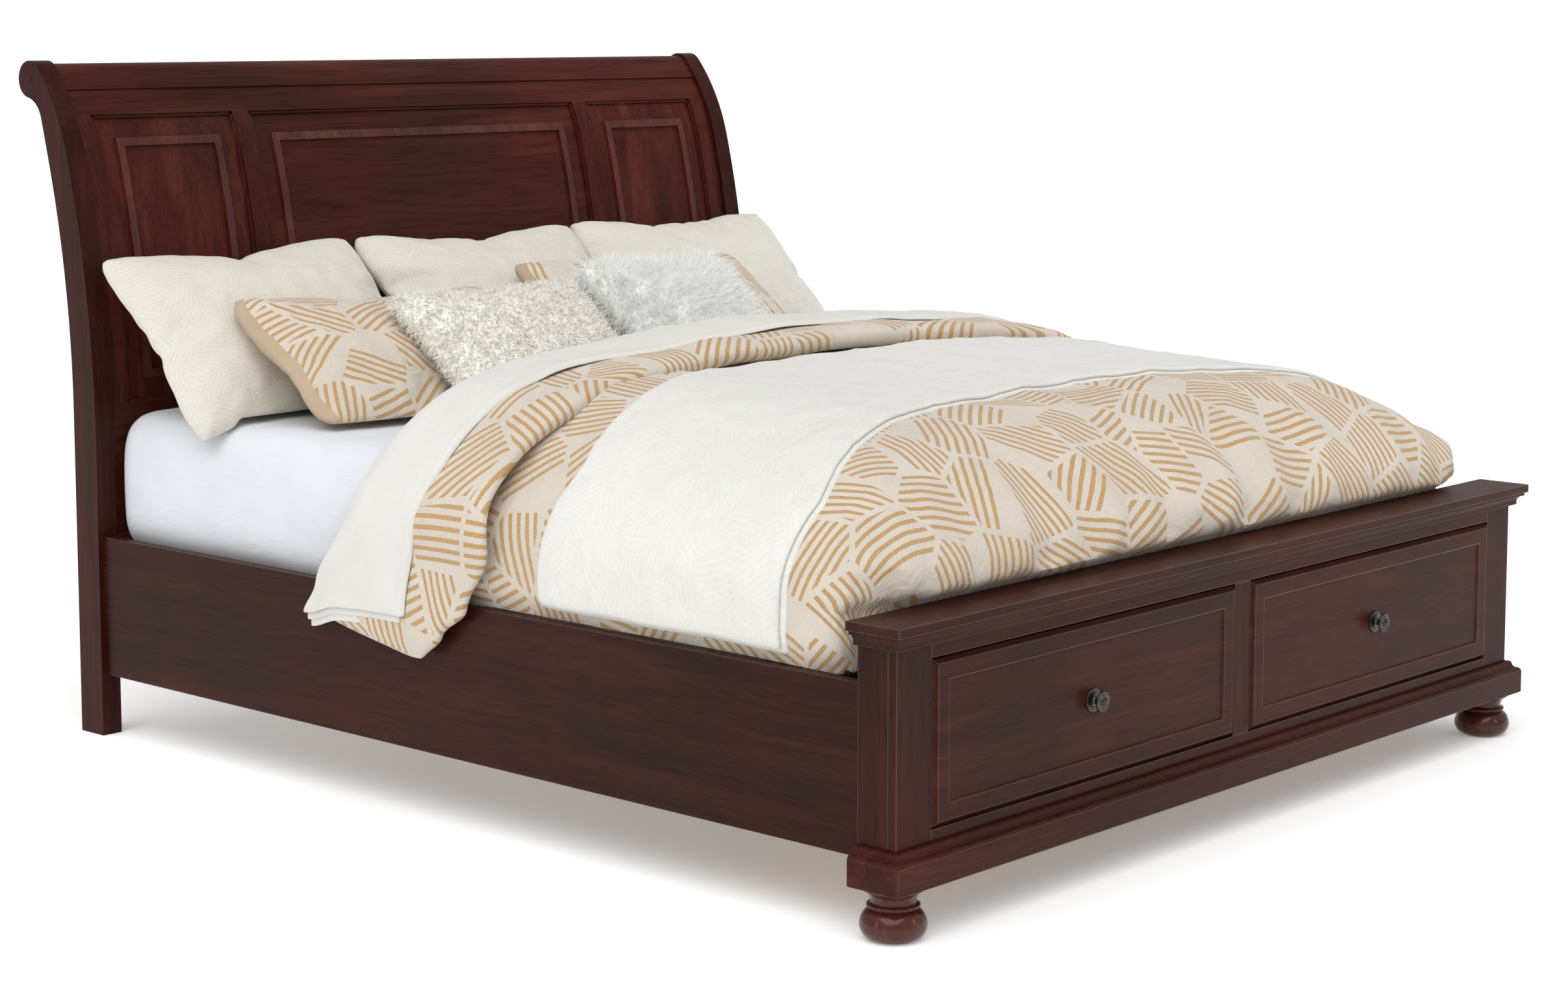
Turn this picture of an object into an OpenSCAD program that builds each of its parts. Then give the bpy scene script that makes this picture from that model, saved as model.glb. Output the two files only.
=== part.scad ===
// Sleigh bed for a king size mattress: a curved frame-and-panel headboard, two
// side rails, and a low footboard on bun feet that holds two drawers.
// +X is the right side seen from the foot, +Y runs towards the headboard, +Z is up.
// The origin is on the floor, in the middle of the whole bed.

/* [Mattress] */
// Width of the mattress
mattress_w = 1930; // [1700:10:2000]
// Length of the mattress
mattress_l = 2032; // [1980:2:2060]
// Thickness of the mattress
mattress_h = 310; // [250:5:320]
// Free space between the mattress and each side rail
mattress_gap = 28; // [26:1:40]

/* [Side rails and slats] */
// Thickness of a side rail
rail_t = 22; // [20:1:26]
// Height of the lower edge of a side rail
rail_bottom = 133; // [110:1:160]
// Height of the upper edge of a side rail
rail_top = 434; // [425:1:450]
// Clear length between the footboard and the headboard posts
rail_l = 2146; // [2140:1:2180]
// Width of one slat
slat_w = 70; // [50:5:90]
// Thickness of one slat
slat_t = 18; // [15:1:20]
// Number of slats
slat_n = 13; // [8:1:16]

/* [Headboard] */
// Height of the headboard posts
head_h = 1450; // [1400:5:1500]
// Width of a headboard post
post_w = 48; // [40:1:56]
// Depth of a headboard leg, front to back
post_d = 78; // [70:1:84]
// Radius of the long gentle curve
long_r = 2400; // [2200:50:2600]
// Radius of the curve below the scroll
short_r = 480; // [440:10:520]
// Radius of the scroll at the top of a post
scroll_r = 40; // [36:1:44]
// Width of the stiles beside the posts
stile_w = 54; // [44:1:64]
// Width of the two mullions between the panels
mullion_w = 60; // [50:1:70]
// Half width of the middle panel opening
centre_half_w = 500; // [450:10:550]
// Height of the top edge of the panel openings
panel_top = 1326; // [1310:1:1335]
// Height of the bottom edge of the panel openings
panel_bottom = 722; // [700:1:750]
// Distance from a panel opening to its raised bead
bead_inset = 43; // [30:1:50]
// Width of the raised bead
bead_w = 18; // [14:1:22]

/* [Footboard] */
// Height of the footboard
foot_h = 545; // [540:1:570]
// Depth of the footboard, front to back
foot_d = 86; // [80:1:100]
// Thickness of the cap board
cap_t = 17; // [15:1:22]
// Overhang of the cap board
cap_over = 30; // [28:1:34]
// Height of the cornice moulding under the cap
cornice_h = 26; // [22:1:30]
// Overhang of the plinth
plinth_over = 27; // [25:1:28]
// Height of the plinth board
plinth_h = 49; // [40:1:55]
// Height of the base moulding on the plinth
base_h = 20; // [19:1:22]
// Height of a bun foot
bun_h = 91; // [85:1:95]
// Largest diameter of a bun foot
bun_d = 116; // [108:1:120]

/* [Drawers] */
// Width of the outer stiles of the footboard
foot_stile_w = 92; // [86:1:100]
// Width of the centre stile between the drawers
centre_stile_w = 52; // [46:2:60]
// Height of the lower edge of the drawer openings
opening_bottom = 180; // [178:1:184]
// Height of the upper edge of the drawer openings
opening_top = 475; // [470:1:480]
// Gap round a drawer front
front_gap = 3; // [2:0.5:4]
// Width of the frame round a drawer front panel
front_frame_w = 38; // [30:1:46]
// Depth of a drawer box
drawer_l = 440; // [430:5:460]
// Height of a drawer box
drawer_h = 160; // [120:5:165]
// How far a knob stands out from its panel
knob_l = 30; // [26:1:32]
// Diameter of a knob
knob_d = 40; // [34:1:44]

/* [Hidden] */

$fn = 48;
wood = [0.23, 0.11, 0.09];
pale_wood = [0.76, 0.62, 0.44];
steel = [0.62, 0.63, 0.65];
pewter = [0.17, 0.16, 0.15];
linen = [0.90, 0.86, 0.78];
ivory = [0.94, 0.92, 0.86];
grid = 12;

// Side positions, measured from the middle of the bed
rail_in = mattress_w / 2 + mattress_gap;
rail_out = rail_in + rail_t;
foot_x = rail_out + 9;
post_out = rail_out + 12;
post_in = post_out - post_w;

// Angles and centres of the headboard curve, with y = 0 at the front of the posts.
// A point of an arc at angle a is centre + radius * [-cos(a), sin(a)].
long_a = 14.5;
short_a = 41;
bend_z = head_h - scroll_r * (1 - sin(short_a)) - short_r * (sin(short_a) - sin(long_a))
    - long_r * sin(long_a);
long_c = [long_r, bend_z];
short_c = long_c + (short_r - long_r) * [cos(long_a), -sin(long_a)];
scroll_c = short_c + (scroll_r - short_r) * [cos(short_a), -sin(short_a)];
head_depth = scroll_c[0] + scroll_r;

// Back of a post: straight, then a long arc, then a neck that flows into the scroll
back_r = 2150;
back_z = scroll_c[1] - 710;
neck_r = 60;
back_c = [post_d + back_r, back_z];
back_end = arc_point(back_c, back_r, long_a);
neck_run = neck_distance();
neck_c = back_end + neck_run * [sin(long_a), cos(long_a)]
    + neck_r * [cos(long_a), -sin(long_a)];
neck_dir = (neck_c - scroll_c) / norm(neck_c - scroll_c);
neck_a = atan2(-neck_dir[1], neck_dir[0]);
scroll_end_a = 360 + atan2(neck_dir[1], -neck_dir[0]);

// Lengthwise positions
panel_face = -2;
knob_front = knob_l - panel_face;
bed_l = knob_front + foot_d + rail_l + head_depth;
foot_y = -bed_l / 2 + knob_front;
foot_back = foot_y + foot_d;
head_y = foot_back + rail_l;

// Setbacks of the headboard pieces behind the front of the posts
crest_inset = 7;
frame_inset = 11;
frame_t = 22;
panel_inset = 21;
panel_t = 8;
groove = 8;
edge_w = 7;
edge_step = 4;
bead_t = 7;
crest_z = 1388;
roll_cut = 20;
lower_rail_h = 72;
opening_x = post_in - stile_w;
mullion_x = centre_half_w + mullion_w;
lap_low = 481;
lap_high = 627;

// Slat support
slat_z = 372;
cleat = 30;
beam_w = 60;
beam_h = 70;
ledger_h = 20;
leg_w = 45;
leg_n = 3;
foot_disc_d = 40;
foot_disc_h = 12;
foot_thread_d = 10;

// Footboard levels
board_t = 19;
cap_z = foot_h - cap_t;
plinth_z = bun_h;
base_z = plinth_z + plinth_h;
base_board_t = 18;
bun_inset = 60;
side_t = 19;

// Drawer layout
opening_in = centre_stile_w / 2;
opening_out = foot_x - foot_stile_w;
drawer_x = (opening_in + opening_out) / 2;
front_w = opening_out - opening_in - 2 * front_gap;
front_h = opening_top - opening_bottom - 2 * front_gap;
front_z = (opening_top + opening_bottom) / 2;
front_face = -6;
front_back = 16;
front_bevel = 8;
panel_rabbet = 8;
slide_t = 13;
box_w = opening_out - opening_in - 2 * slide_t;
box_t = 12;
box_z = 195;
slide_z = box_z + 75;
slide_l = 400;
slide_y = 24;
case_t = 16;
case_z = 168;
case_h = 202;
case_l = 470;
stud_d = 5;
clearance = 0.2;

// Centre beam, between the back of the drawer case and the headboard cross rail
case_back_y = foot_y + board_t + case_l;
beam_y = [case_back_y + case_t, head_y + 9];

// Rail hooks
hook_plate = [16, 3, 130];
hook_z = (rail_bottom + rail_top) / 2;
hook_reach = 12;

// Bedding levels
mattress_z = slat_z + slat_t;
sleep_z = mattress_z + mattress_h;
mattress_y = head_y + 5 - mattress_l;
duvet_t = 100;
band_t = 56;
band_y = [foot_y + 1050, foot_y + 1300];
flap_x = rail_out + 4;

function arc_point(c, r, a) = c + r * [-cos(a), sin(a)];
function arc(c, r, a0, a1, n) = [for (i = [0 : n]) arc_point(c, r, a0 + (a1 - a0) * i / n)];
function along(v, w) = v[0] * w[0] + v[1] * w[1];

// Distance from the end of the long back arc to the start of the neck
function neck_distance() =
    let (u = [sin(long_a), cos(long_a)],
         d = back_end + neck_r * [cos(long_a), -sin(long_a)] - scroll_c)
    -along(d, u) - sqrt(pow(along(d, u), 2) - d * d + pow(neck_r + scroll_r, 2));

// Depth of the headboard's front curve at height z, set back by inset
function curve_y(z, inset) =
    let (break_z = bend_z + (long_r - inset) * sin(long_a))
    z <= bend_z ? inset
    : z <= break_z ? long_c[0] - sqrt(pow(long_r - inset, 2) - pow(z - long_c[1], 2))
    : short_c[0] - sqrt(pow(short_r - inset, 2) - pow(z - short_c[1], 2));

// Outline of a post in [y, z], made smaller by inset all round
function post_outline(inset) = concat(
    [[inset, 0]],
    arc(long_c, long_r - inset, 0, long_a, 24),
    arc(short_c, short_r - inset, long_a, short_a, 12),
    arc(scroll_c, scroll_r - inset, short_a, scroll_end_a, 32),
    arc(neck_c, neck_r + inset, neck_a, long_a, 10),
    arc(back_c, back_r + inset, long_a, 0, 20),
    [[post_d - inset, 0]]);

module along_x(x0, x1) {
    translate([x0, 0, 0])
        rotate([90, 0, 90])
            linear_extrude(height = x1 - x0)
                children();
}

module both_sides() {
    children();
    mirror([1, 0, 0])
        children();
}

module box(x, y, z) {
    translate([x[0], y[0], z[0]])
        cube([x[1] - x[0], y[1] - y[0], z[1] - z[0]]);
}

// A curved board that follows the headboard between two setbacks. All boards are
// cut at the same heights, so that they meet face to face.
module curved_board(x, z, inset) {
    steps = [for (i = [ceil((z[0] + 1) / grid) : floor((z[1] - 1) / grid)]) i * grid];
    levels = concat([z[0]], steps, [z[1]]);
    last = len(levels) - 1;
    front = [for (level = levels) [curve_y(level, inset[0]), level]];
    back = [for (i = [last : -1 : 0]) [curve_y(levels[i], inset[1]), levels[i]]];
    translate([0, head_y, 0])
        along_x(x[0], x[1])
            polygon(concat(front, back));
}

// Headboard ---------------------------------------------------------------

module head_post() {
    color(wood)
        difference() {
            translate([0, head_y, 0])
                along_x(post_in, post_out)
                    difference() {
                        polygon(post_outline(0));
                        translate([-1, -1])
                            square([post_d + 2, lap_low + 1]);
                        translate([post_d / 2, 0])
                            square([post_d, lap_high]);
                    }
            bolt_cuts();
            screw_cap_cut();
        }
}

module head_leg() {
    color(wood)
        difference() {
            translate([0, head_y, 0])
                along_x(post_in, post_out)
                    union() {
                        square([post_d, lap_low]);
                        translate([post_d / 2, lap_low - 1])
                            square([post_d / 2, lap_high - lap_low + 1]);
                    }
            bolt_cuts();
            rail_hook(head_y, 1);
        }
}

module left_head_post() {
    mirror([1, 0, 0])
        head_post();
}

module right_head_post() {
    head_post();
}

module left_head_leg() {
    mirror([1, 0, 0])
        head_leg();
}

module right_head_leg() {
    head_leg();
}

// The crest is cut level where it meets the top rail, and is a full roll behind it
module crest_roll() {
    color(wood)
        translate([0, head_y, 0])
            along_x(-post_in, post_in)
                intersection() {
                    polygon(post_outline(crest_inset));
                    union() {
                        translate([0, crest_z])
                            square([head_depth, head_h]);
                        translate([scroll_c[0] - roll_cut, crest_z - scroll_r])
                            square([head_depth, head_h]);
                    }
                }
}

// A rail of the headboard frame, with a stepped edge along each panel opening
module frame_rail(z, edge_z) {
    face = [frame_inset, frame_inset + frame_t];
    edge = [frame_inset + edge_step, frame_inset + frame_t];
    curved_board([-post_in, post_in], z, face);
    curved_board([-centre_half_w, centre_half_w], edge_z, edge);
    both_sides()
        curved_board([mullion_x, opening_x], edge_z, edge);
}

module headboard_top_rail() {
    color(wood)
        difference() {
            frame_rail([panel_top + edge_w, crest_z], [panel_top, panel_top + edge_w]);
            panel_blanks();
        }
}

module headboard_bottom_rail() {
    top = panel_bottom - edge_w;
    color(wood)
        difference() {
            frame_rail([top - lower_rail_h, top], [top, panel_bottom]);
            panel_blanks();
        }
}

// An upright of the headboard frame; edges says which sides meet a panel
module frame_upright(x, edges) {
    z = [panel_bottom - edge_w, panel_top + edge_w];
    inner = [x[0] + edges[0] * edge_w, x[1] - edges[1] * edge_w];
    curved_board(inner, z, [frame_inset, frame_inset + frame_t]);
    edge_z = [panel_bottom, panel_top];
    edge = [frame_inset + edge_step, frame_inset + frame_t];
    if (edges[0] > 0)
        curved_board([x[0], inner[0]], edge_z, edge);
    if (edges[1] > 0)
        curved_board([inner[1], x[1]], edge_z, edge);
}

module headboard_stiles() {
    color(wood)
        both_sides()
            difference() {
                frame_upright([opening_x, post_in], [1, 0]);
                panel_blanks();
            }
}

module headboard_mullions() {
    color(wood)
        both_sides()
            difference() {
                frame_upright([centre_half_w, mullion_x], [1, 1]);
                panel_blanks();
            }
}

module panel_blank(x) {
    z = [panel_bottom - groove, panel_top + groove];
    curved_board([x[0] - groove, x[1] + groove], z, [panel_inset, panel_inset + panel_t]);
}

module panel_blanks() {
    panel_blank([-centre_half_w, centre_half_w]);
    both_sides()
        panel_blank([mullion_x, opening_x]);
}

module headboard_side_panels() {
    color(wood)
        both_sides()
            panel_blank([mullion_x, opening_x]);
}

module headboard_centre_panel() {
    color(wood)
        panel_blank([-centre_half_w, centre_half_w]);
}

// A raised rectangular bead on the face of one panel
module panel_bead(x) {
    inset = [panel_inset - bead_t, panel_inset];
    outer = [x[0] + bead_inset, x[1] - bead_inset];
    z = [panel_bottom + bead_inset, panel_top - bead_inset];
    curved_board(outer, [z[0], z[0] + bead_w], inset);
    curved_board(outer, [z[1] - bead_w, z[1]], inset);
    curved_board([outer[0], outer[0] + bead_w], z, inset);
    curved_board([outer[1] - bead_w, outer[1]], z, inset);
}

module panel_beads() {
    color(wood) {
        panel_bead([-centre_half_w, centre_half_w]);
        both_sides()
            panel_bead([mullion_x, opening_x]);
    }
}

module headboard_lower_panel() {
    top = panel_bottom - edge_w - lower_rail_h;
    color(wood)
        box([-post_in, post_in], [head_y + 15, head_y + 31], [rail_top, top]);
}

module headboard_cross_rail() {
    color(wood) {
        box([-post_in, post_in], [head_y + 9, head_y + 31], [rail_top - 134, rail_top]);
        box([-beam_w, beam_w], [head_y - 21, head_y + 9],
            [slat_z - beam_h - ledger_h, slat_z - beam_h]);
    }
}

module screw_cap_cut() {
    translate([post_out - 6, head_y + scroll_c[0], scroll_c[1]])
        rotate([0, 90, 0])
            cylinder(d = 8, h = 10);
}

module screw_caps() {
    color(wood)
        both_sides()
            translate([post_out - 6, head_y + scroll_c[0], scroll_c[1]])
                rotate([0, 90, 0]) {
                    cylinder(d = 8 - 2 * clearance, h = 6);
                    translate([0, 0, 6])
                        cylinder(d = 10, h = 2);
                }
}

// Bolts that clamp the lap joint of each post
module lap_bolt(shank_d) {
    translate([(post_in + post_out) / 2, head_y + post_d / 2 - 24, 0])
        rotate([-90, 0, 0]) {
            cylinder(d = shank_d, h = 24 + post_d / 2);
            translate([0, 0, 24 + post_d / 2])
                cylinder(d = 16, h = 5);
        }
}

module lap_bolt_pair(shank_d) {
    for (z = [lap_low + 45, lap_high - 45])
        translate([0, 0, z])
            lap_bolt(shank_d);
}

module bolt_cuts() {
    lap_bolt_pair(8 + 2 * clearance);
}

module lap_bolts() {
    color(steel)
        both_sides()
            lap_bolt_pair(8);
}

// Side rails and slats ----------------------------------------------------

// Plate let into the end of a rail, with two hooks that reach along dir
module rail_hook(y, dir) {
    x = (rail_in + rail_out) / 2;
    plate = dir > 0 ? [y - hook_plate[1], y] : [y, y + hook_plate[1]];
    tongue = dir > 0 ? [y - 1, y + hook_reach] : [y - hook_reach, y + 1];
    box([x - hook_plate[0] / 2, x + hook_plate[0] / 2], plate,
        [hook_z - hook_plate[2] / 2, hook_z + hook_plate[2] / 2]);
    for (z = [hook_z - 45, hook_z + 15])
        box([x - 1.5, x + 1.5], tongue, [z, z + 30]);
}

module rail_hooks() {
    color(steel)
        both_sides() {
            rail_hook(head_y, 1);
            rail_hook(foot_back, -1);
        }
}

module side_rail() {
    color(wood)
        difference() {
            box([rail_in, rail_out], [foot_back, head_y], [rail_bottom, rail_top]);
            rail_hook(head_y, 1);
            rail_hook(foot_back, -1);
        }
}

module left_side_rail() {
    mirror([1, 0, 0])
        side_rail();
}

module right_side_rail() {
    side_rail();
}

module slat_cleats() {
    color(pale_wood)
        both_sides()
            box([rail_in - cleat, rail_in], [foot_back + 10, head_y - 10],
                [slat_z - cleat, slat_z]);
}

module slats() {
    pitch = (rail_l - 80 - slat_w) / (slat_n - 1);
    color(pale_wood)
        for (i = [0 : slat_n - 1])
            translate([-rail_in + 6, foot_back + 40 + i * pitch, slat_z])
                cube([2 * rail_in - 12, slat_w, slat_t]);
}

module centre_beam() {
    color(pale_wood)
        box([-beam_w / 2, beam_w / 2], beam_y, [slat_z - beam_h, slat_z]);
}

module at_supports() {
    for (i = [0 : leg_n - 1])
        translate([0, beam_y[0] + (beam_y[1] - beam_y[0]) * (i + 0.5) / leg_n, 0])
            children();
}

module support_legs() {
    color(pale_wood)
        at_supports()
            difference() {
                translate([-leg_w / 2, -leg_w / 2, foot_disc_h])
                    cube([leg_w, leg_w, slat_z - beam_h - foot_disc_h]);
                cylinder(d = foot_thread_d + 2 * clearance, h = foot_disc_h + 40);
            }
}

module levelling_feet() {
    color(steel)
        at_supports() {
            cylinder(d = foot_disc_d, h = foot_disc_h);
            cylinder(d = foot_thread_d, h = foot_disc_h + 35);
        }
}

// Footboard ---------------------------------------------------------------

module footboard_stiles() {
    y = [foot_y, foot_y + board_t];
    color(wood) {
        both_sides()
            box([opening_out, foot_x], y, [plinth_z + base_board_t, cap_z]);
        box([-opening_in, opening_in], y, [opening_bottom, opening_top]);
    }
}

module footboard_top_rail() {
    color(wood)
        box([-opening_out, opening_out], [foot_y, foot_y + board_t], [opening_top, cap_z]);
}

module footboard_bottom_rail() {
    color(wood)
        box([-opening_out, opening_out], [foot_y, foot_y + board_t],
            [plinth_z + base_board_t, opening_bottom]);
}

// Each side is a panel with a corner block behind it that takes the rail hooks
module footboard_sides() {
    z = [plinth_z + base_board_t, cap_z];
    color(wood)
        both_sides()
            difference() {
                union() {
                    box([foot_x - side_t, foot_x], [foot_y + board_t, foot_back], z);
                    box([rail_in - cleat, foot_x - side_t + 1], [foot_back - 40, foot_back], z);
                }
                rail_hook(foot_back, -1);
            }
}

module footboard_back_panel() {
    x = rail_in - cleat;
    color(wood)
        box([-x, x], [foot_back - 16, foot_back], [slat_z, cap_z]);
}

module footboard_base_board() {
    color(wood)
        box([-foot_x, foot_x], [foot_y, foot_back], [plinth_z, plinth_z + base_board_t]);
}

module footboard_cap() {
    color(wood)
        box([-foot_x - cap_over, foot_x + cap_over], [foot_y - cap_over, foot_back + 2],
            [cap_z, foot_h]);
}

// Three lengths of moulding round the front and the sides, mitred at the corners.
// The child is the section in [distance out from the face, height].
module mitred_trim(z, over) {
    hairline = 0.1;
    corner = [foot_x + over, foot_y - over];
    intersection() {
        translate([0, foot_y, z])
            mirror([0, 1, 0])
                along_x(-corner[0], corner[0])
                    children();
        linear_extrude(height = foot_h)
            polygon([[-foot_x + hairline, foot_y], [-corner[0] + hairline, corner[1]],
                [corner[0] - hairline, corner[1]], [foot_x - hairline, foot_y]]);
    }
    both_sides()
        intersection() {
            translate([foot_x, foot_back, z])
                rotate([90, 0, 0])
                    linear_extrude(height = foot_d + over)
                        children();
            linear_extrude(height = foot_h)
                polygon([[foot_x, foot_y], corner, [corner[0], foot_back], [foot_x, foot_back]]);
        }
}

// Cornice section: a narrow foot, a hollow, and a square top under the cap
module cornice_section() {
    foot = 12;
    hollow = 12;
    polygon(concat(
        [[0, 0], [foot, 0]],
        [for (a = [180 : -10 : 90]) [foot + hollow + hollow * cos(a), 7 + hollow * sin(a)]],
        [[foot + hollow, cornice_h], [0, cornice_h]]));
}

module cornice_moulding() {
    color(wood)
        mitred_trim(cap_z - cornice_h, 24)
            cornice_section();
}

// Base moulding section: two fillets, a hollow, and a bead at the top
module base_section() {
    fillet = 2.5;
    hollow = 9;
    bead = 5;
    polygon(concat(
        [[0, 0], [25, 0], [25, fillet]],
        [for (a = [270 : -10 : 180])
            [21 + hollow * cos(a), 2 * fillet + hollow + hollow * sin(a)]],
        [[0, 2 * fillet + hollow]]));
    translate([6, base_h - bead])
        circle(r = bead);
    translate([0, base_h - 2 * bead])
        square([6, 2 * bead]);
}

module base_moulding() {
    color(wood)
        mitred_trim(base_z, plinth_over)
            base_section();
}

module plinth() {
    color(wood)
        mitred_trim(plinth_z, plinth_over)
            square([plinth_over, plinth_h]);
}

// A turned foot: a flattened ball, a ring, a neck and a flare under the plinth
module bun_foot() {
    ball_h = 0.58 * bun_h;
    ball_r = ball_h / 2;
    ring_r = 46;
    neck = 43;
    rotate_extrude($fn = 96) {
        square([bun_d / 2 - ball_r, ball_h]);
        translate([bun_d / 2 - ball_r, ball_r])
            intersection() {
                circle(r = ball_r);
                translate([0, -ball_r])
                    square([ball_r, ball_h]);
            }
        translate([0, ball_h - 2])
            square([ring_r - 4, 10]);
        translate([ring_r - 4, ball_h + 3])
            intersection() {
                circle(r = 4);
                translate([0, -4])
                    square([4, 8]);
            }
        translate([0, ball_h + 6])
            square([neck, bun_h - ball_h - 6]);
        polygon([[0, bun_h - 22], [neck, bun_h - 22], [neck + 2, bun_h - 14],
            [neck + 5, bun_h - 9], [neck + 10, bun_h - 4], [neck + 10, bun_h], [0, bun_h]]);
    }
}

module bun_feet() {
    color(wood)
        both_sides()
            translate([foot_x + plinth_over - bun_inset, foot_y - plinth_over + bun_inset, 0])
                bun_foot();
}

// Drawer case and slides --------------------------------------------------

module drawer_case() {
    y = [foot_y + board_t, case_back_y - clearance];
    z = [case_z, case_z + case_h];
    color(pale_wood) {
        both_sides()
            box([opening_out, opening_out + case_t], y, z);
        box([-opening_in, opening_in], y, z);
    }
}

module drawer_case_back() {
    x = opening_out + case_t;
    color(pale_wood) {
        box([-x, x], [case_back_y, case_back_y + case_t], [case_z, case_z + case_h]);
        box([-beam_w, beam_w], [case_back_y + case_t, case_back_y + case_t + 30],
            [slat_z - beam_h - ledger_h, slat_z - beam_h]);
    }
}

// Channel of one slide member: web at x = 0, lips towards +X
module slide_channel(web, lip, height, length) {
    translate([0, 0, -height / 2]) {
        cube([web, length, height]);
        cube([lip, length, web]);
        translate([0, 0, height - web])
            cube([lip, length, web]);
    }
}

// Places its children on both walls of the drawer opening, facing inwards
module at_slides() {
    translate([opening_in, foot_y + slide_y, slide_z])
        children();
    translate([opening_out, foot_y + slide_y, slide_z])
        mirror([1, 0, 0])
            children();
}

module slide_outer_members() {
    color(steel)
        both_sides()
            at_slides()
                slide_channel(1.4, 10, 45, slide_l);
}

module slide_middle() {
    color(steel)
        at_slides()
            translate([3.6, 0, 0])
                slide_channel(1.2, 7, 38, slide_l);
}

module slide_inner() {
    color(steel)
        at_slides()
            translate([slide_t, 0, 0])
                mirror([1, 0, 0])
                    slide_channel(1.4, 6.6, 30, slide_l);
}

// Drawers -----------------------------------------------------------------

// A block whose front edges are bevelled on all four sides. w and h are its size
// at the back of the bevel, y runs from the front face to the back face.
module bevelled_block(w, h, y, bevel) {
    side = [[-w / 2 + bevel, y[0]], [w / 2 - bevel, y[0]], [w / 2, y[0] + bevel],
        [w / 2, y[1]], [-w / 2, y[1]], [-w / 2, y[0] + bevel]];
    top = [[y[0], -h / 2 + bevel], [y[0], h / 2 - bevel], [y[0] + bevel, h / 2],
        [y[1], h / 2], [y[1], -h / 2], [y[0] + bevel, -h / 2]];
    intersection() {
        translate([0, 0, -h / 2])
            linear_extrude(height = h)
                polygon(side);
        along_x(-w / 2, w / 2)
            polygon(top);
    }
}

// A sunk field with sloping edges, cut into a face at y[0] down to y[1]
module sunk_field(w, h, y) {
    depth = y[1] - y[0];
    grow = 1;
    side = [[-w / 2 - grow, y[0] - grow], [w / 2 + grow, y[0] - grow],
        [w / 2 - depth, y[1]], [-w / 2 + depth, y[1]]];
    top = [[y[0] - grow, -h / 2 - grow], [y[0] - grow, h / 2 + grow],
        [y[1], h / 2 - depth], [y[1], -h / 2 + depth]];
    intersection() {
        translate([0, 0, -h / 2 - grow])
            linear_extrude(height = h + 2 * grow)
                polygon(side);
        along_x(-w / 2 - grow, w / 2 + grow)
            polygon(top);
    }
}

module at_drawer() {
    translate([drawer_x, foot_y, front_z])
        children();
}

module field_block(grow, y) {
    w = front_w - 2 * front_frame_w + 2 * grow;
    h = front_h - 2 * front_frame_w + 2 * grow;
    translate([-w / 2, y[0], -h / 2])
        cube([w, y[1] - y[0], h]);
}

module drawer_front() {
    color(wood)
        at_drawer()
            difference() {
                bevelled_block(front_w, front_h, [front_face, front_back], front_bevel);
                sunk_field(front_w - 2 * front_frame_w, front_h - 2 * front_frame_w,
                    [front_face, panel_face]);
                field_block(-panel_face + front_face, [front_face, front_back + 1]);
                field_block(panel_rabbet, [panel_face, front_back + 1]);
            }
}

module drawer_panel() {
    color(wood)
        at_drawer()
            difference() {
                field_block(panel_rabbet, [panel_face, front_back]);
                knob_bore();
            }
}

module knob_bore() {
    translate([0, panel_face - 1, 0])
        rotate([-90, 0, 0])
            cylinder(d = stud_d + 2 * clearance, h = 60);
}

module drawer_box() {
    x = [drawer_x - box_w / 2, drawer_x + box_w / 2];
    y = [foot_y + front_back, foot_y + front_back + drawer_l];
    z = [box_z, box_z + drawer_h];
    color(pale_wood)
        difference() {
            box(x, y, z);
            box([x[0] + box_t, x[1] - box_t], [y[0] + box_t, y[1] - box_t],
                [z[0] - 1, z[1] + 1]);
            drawer_bottom();
            at_drawer()
                knob_bore();
        }
}

module drawer_bottom() {
    x = [drawer_x - box_w / 2 + 6, drawer_x + box_w / 2 - 6];
    y = [foot_y + front_back + 6, foot_y + front_back + drawer_l - 6];
    color(pale_wood)
        box(x, y, [box_z + 6, box_z + 12]);
}

module drawer_knob() {
    r = knob_d / 2;
    color(pewter)
        at_drawer()
            translate([0, panel_face, 0])
                rotate([90, 0, 0]) {
                    rotate_extrude($fn = 96) {
                        square([22, 2]);
                        translate([0, 1])
                            square([19, 3]);
                        square([8, knob_l - 6]);
                        polygon([[0, 12], [9, 12], [r - 3, 18], [r, 21], [r, 23],
                            [r - 4, 26], [r - 9, 28], [0, 28]]);
                        square([5, knob_l]);
                    }
                    translate([0, 0, -32])
                        cylinder(d = stud_d, h = 33);
                }
}

module left() {
    mirror([1, 0, 0])
        children();
}

// Bedding -----------------------------------------------------------------

module rounded_slab(x, y, r, z) {
    translate([0, 0, z[0]])
        linear_extrude(height = z[1] - z[0])
            polygon(concat(
                arc([-x + r, y[0] + r], r, 270, 360, 8),
                arc([-x + r, y[1] - r], r, 0, 90, 8),
                arc([x - r, y[1] - r], r, 90, 180, 8),
                arc([x - r, y[0] + r], r, 180, 270, 8)));
}

module mattress() {
    color("white")
        rounded_slab(mattress_w / 2, [mattress_y, mattress_y + mattress_l], 50,
            [mattress_z, sleep_z]);
}

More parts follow.
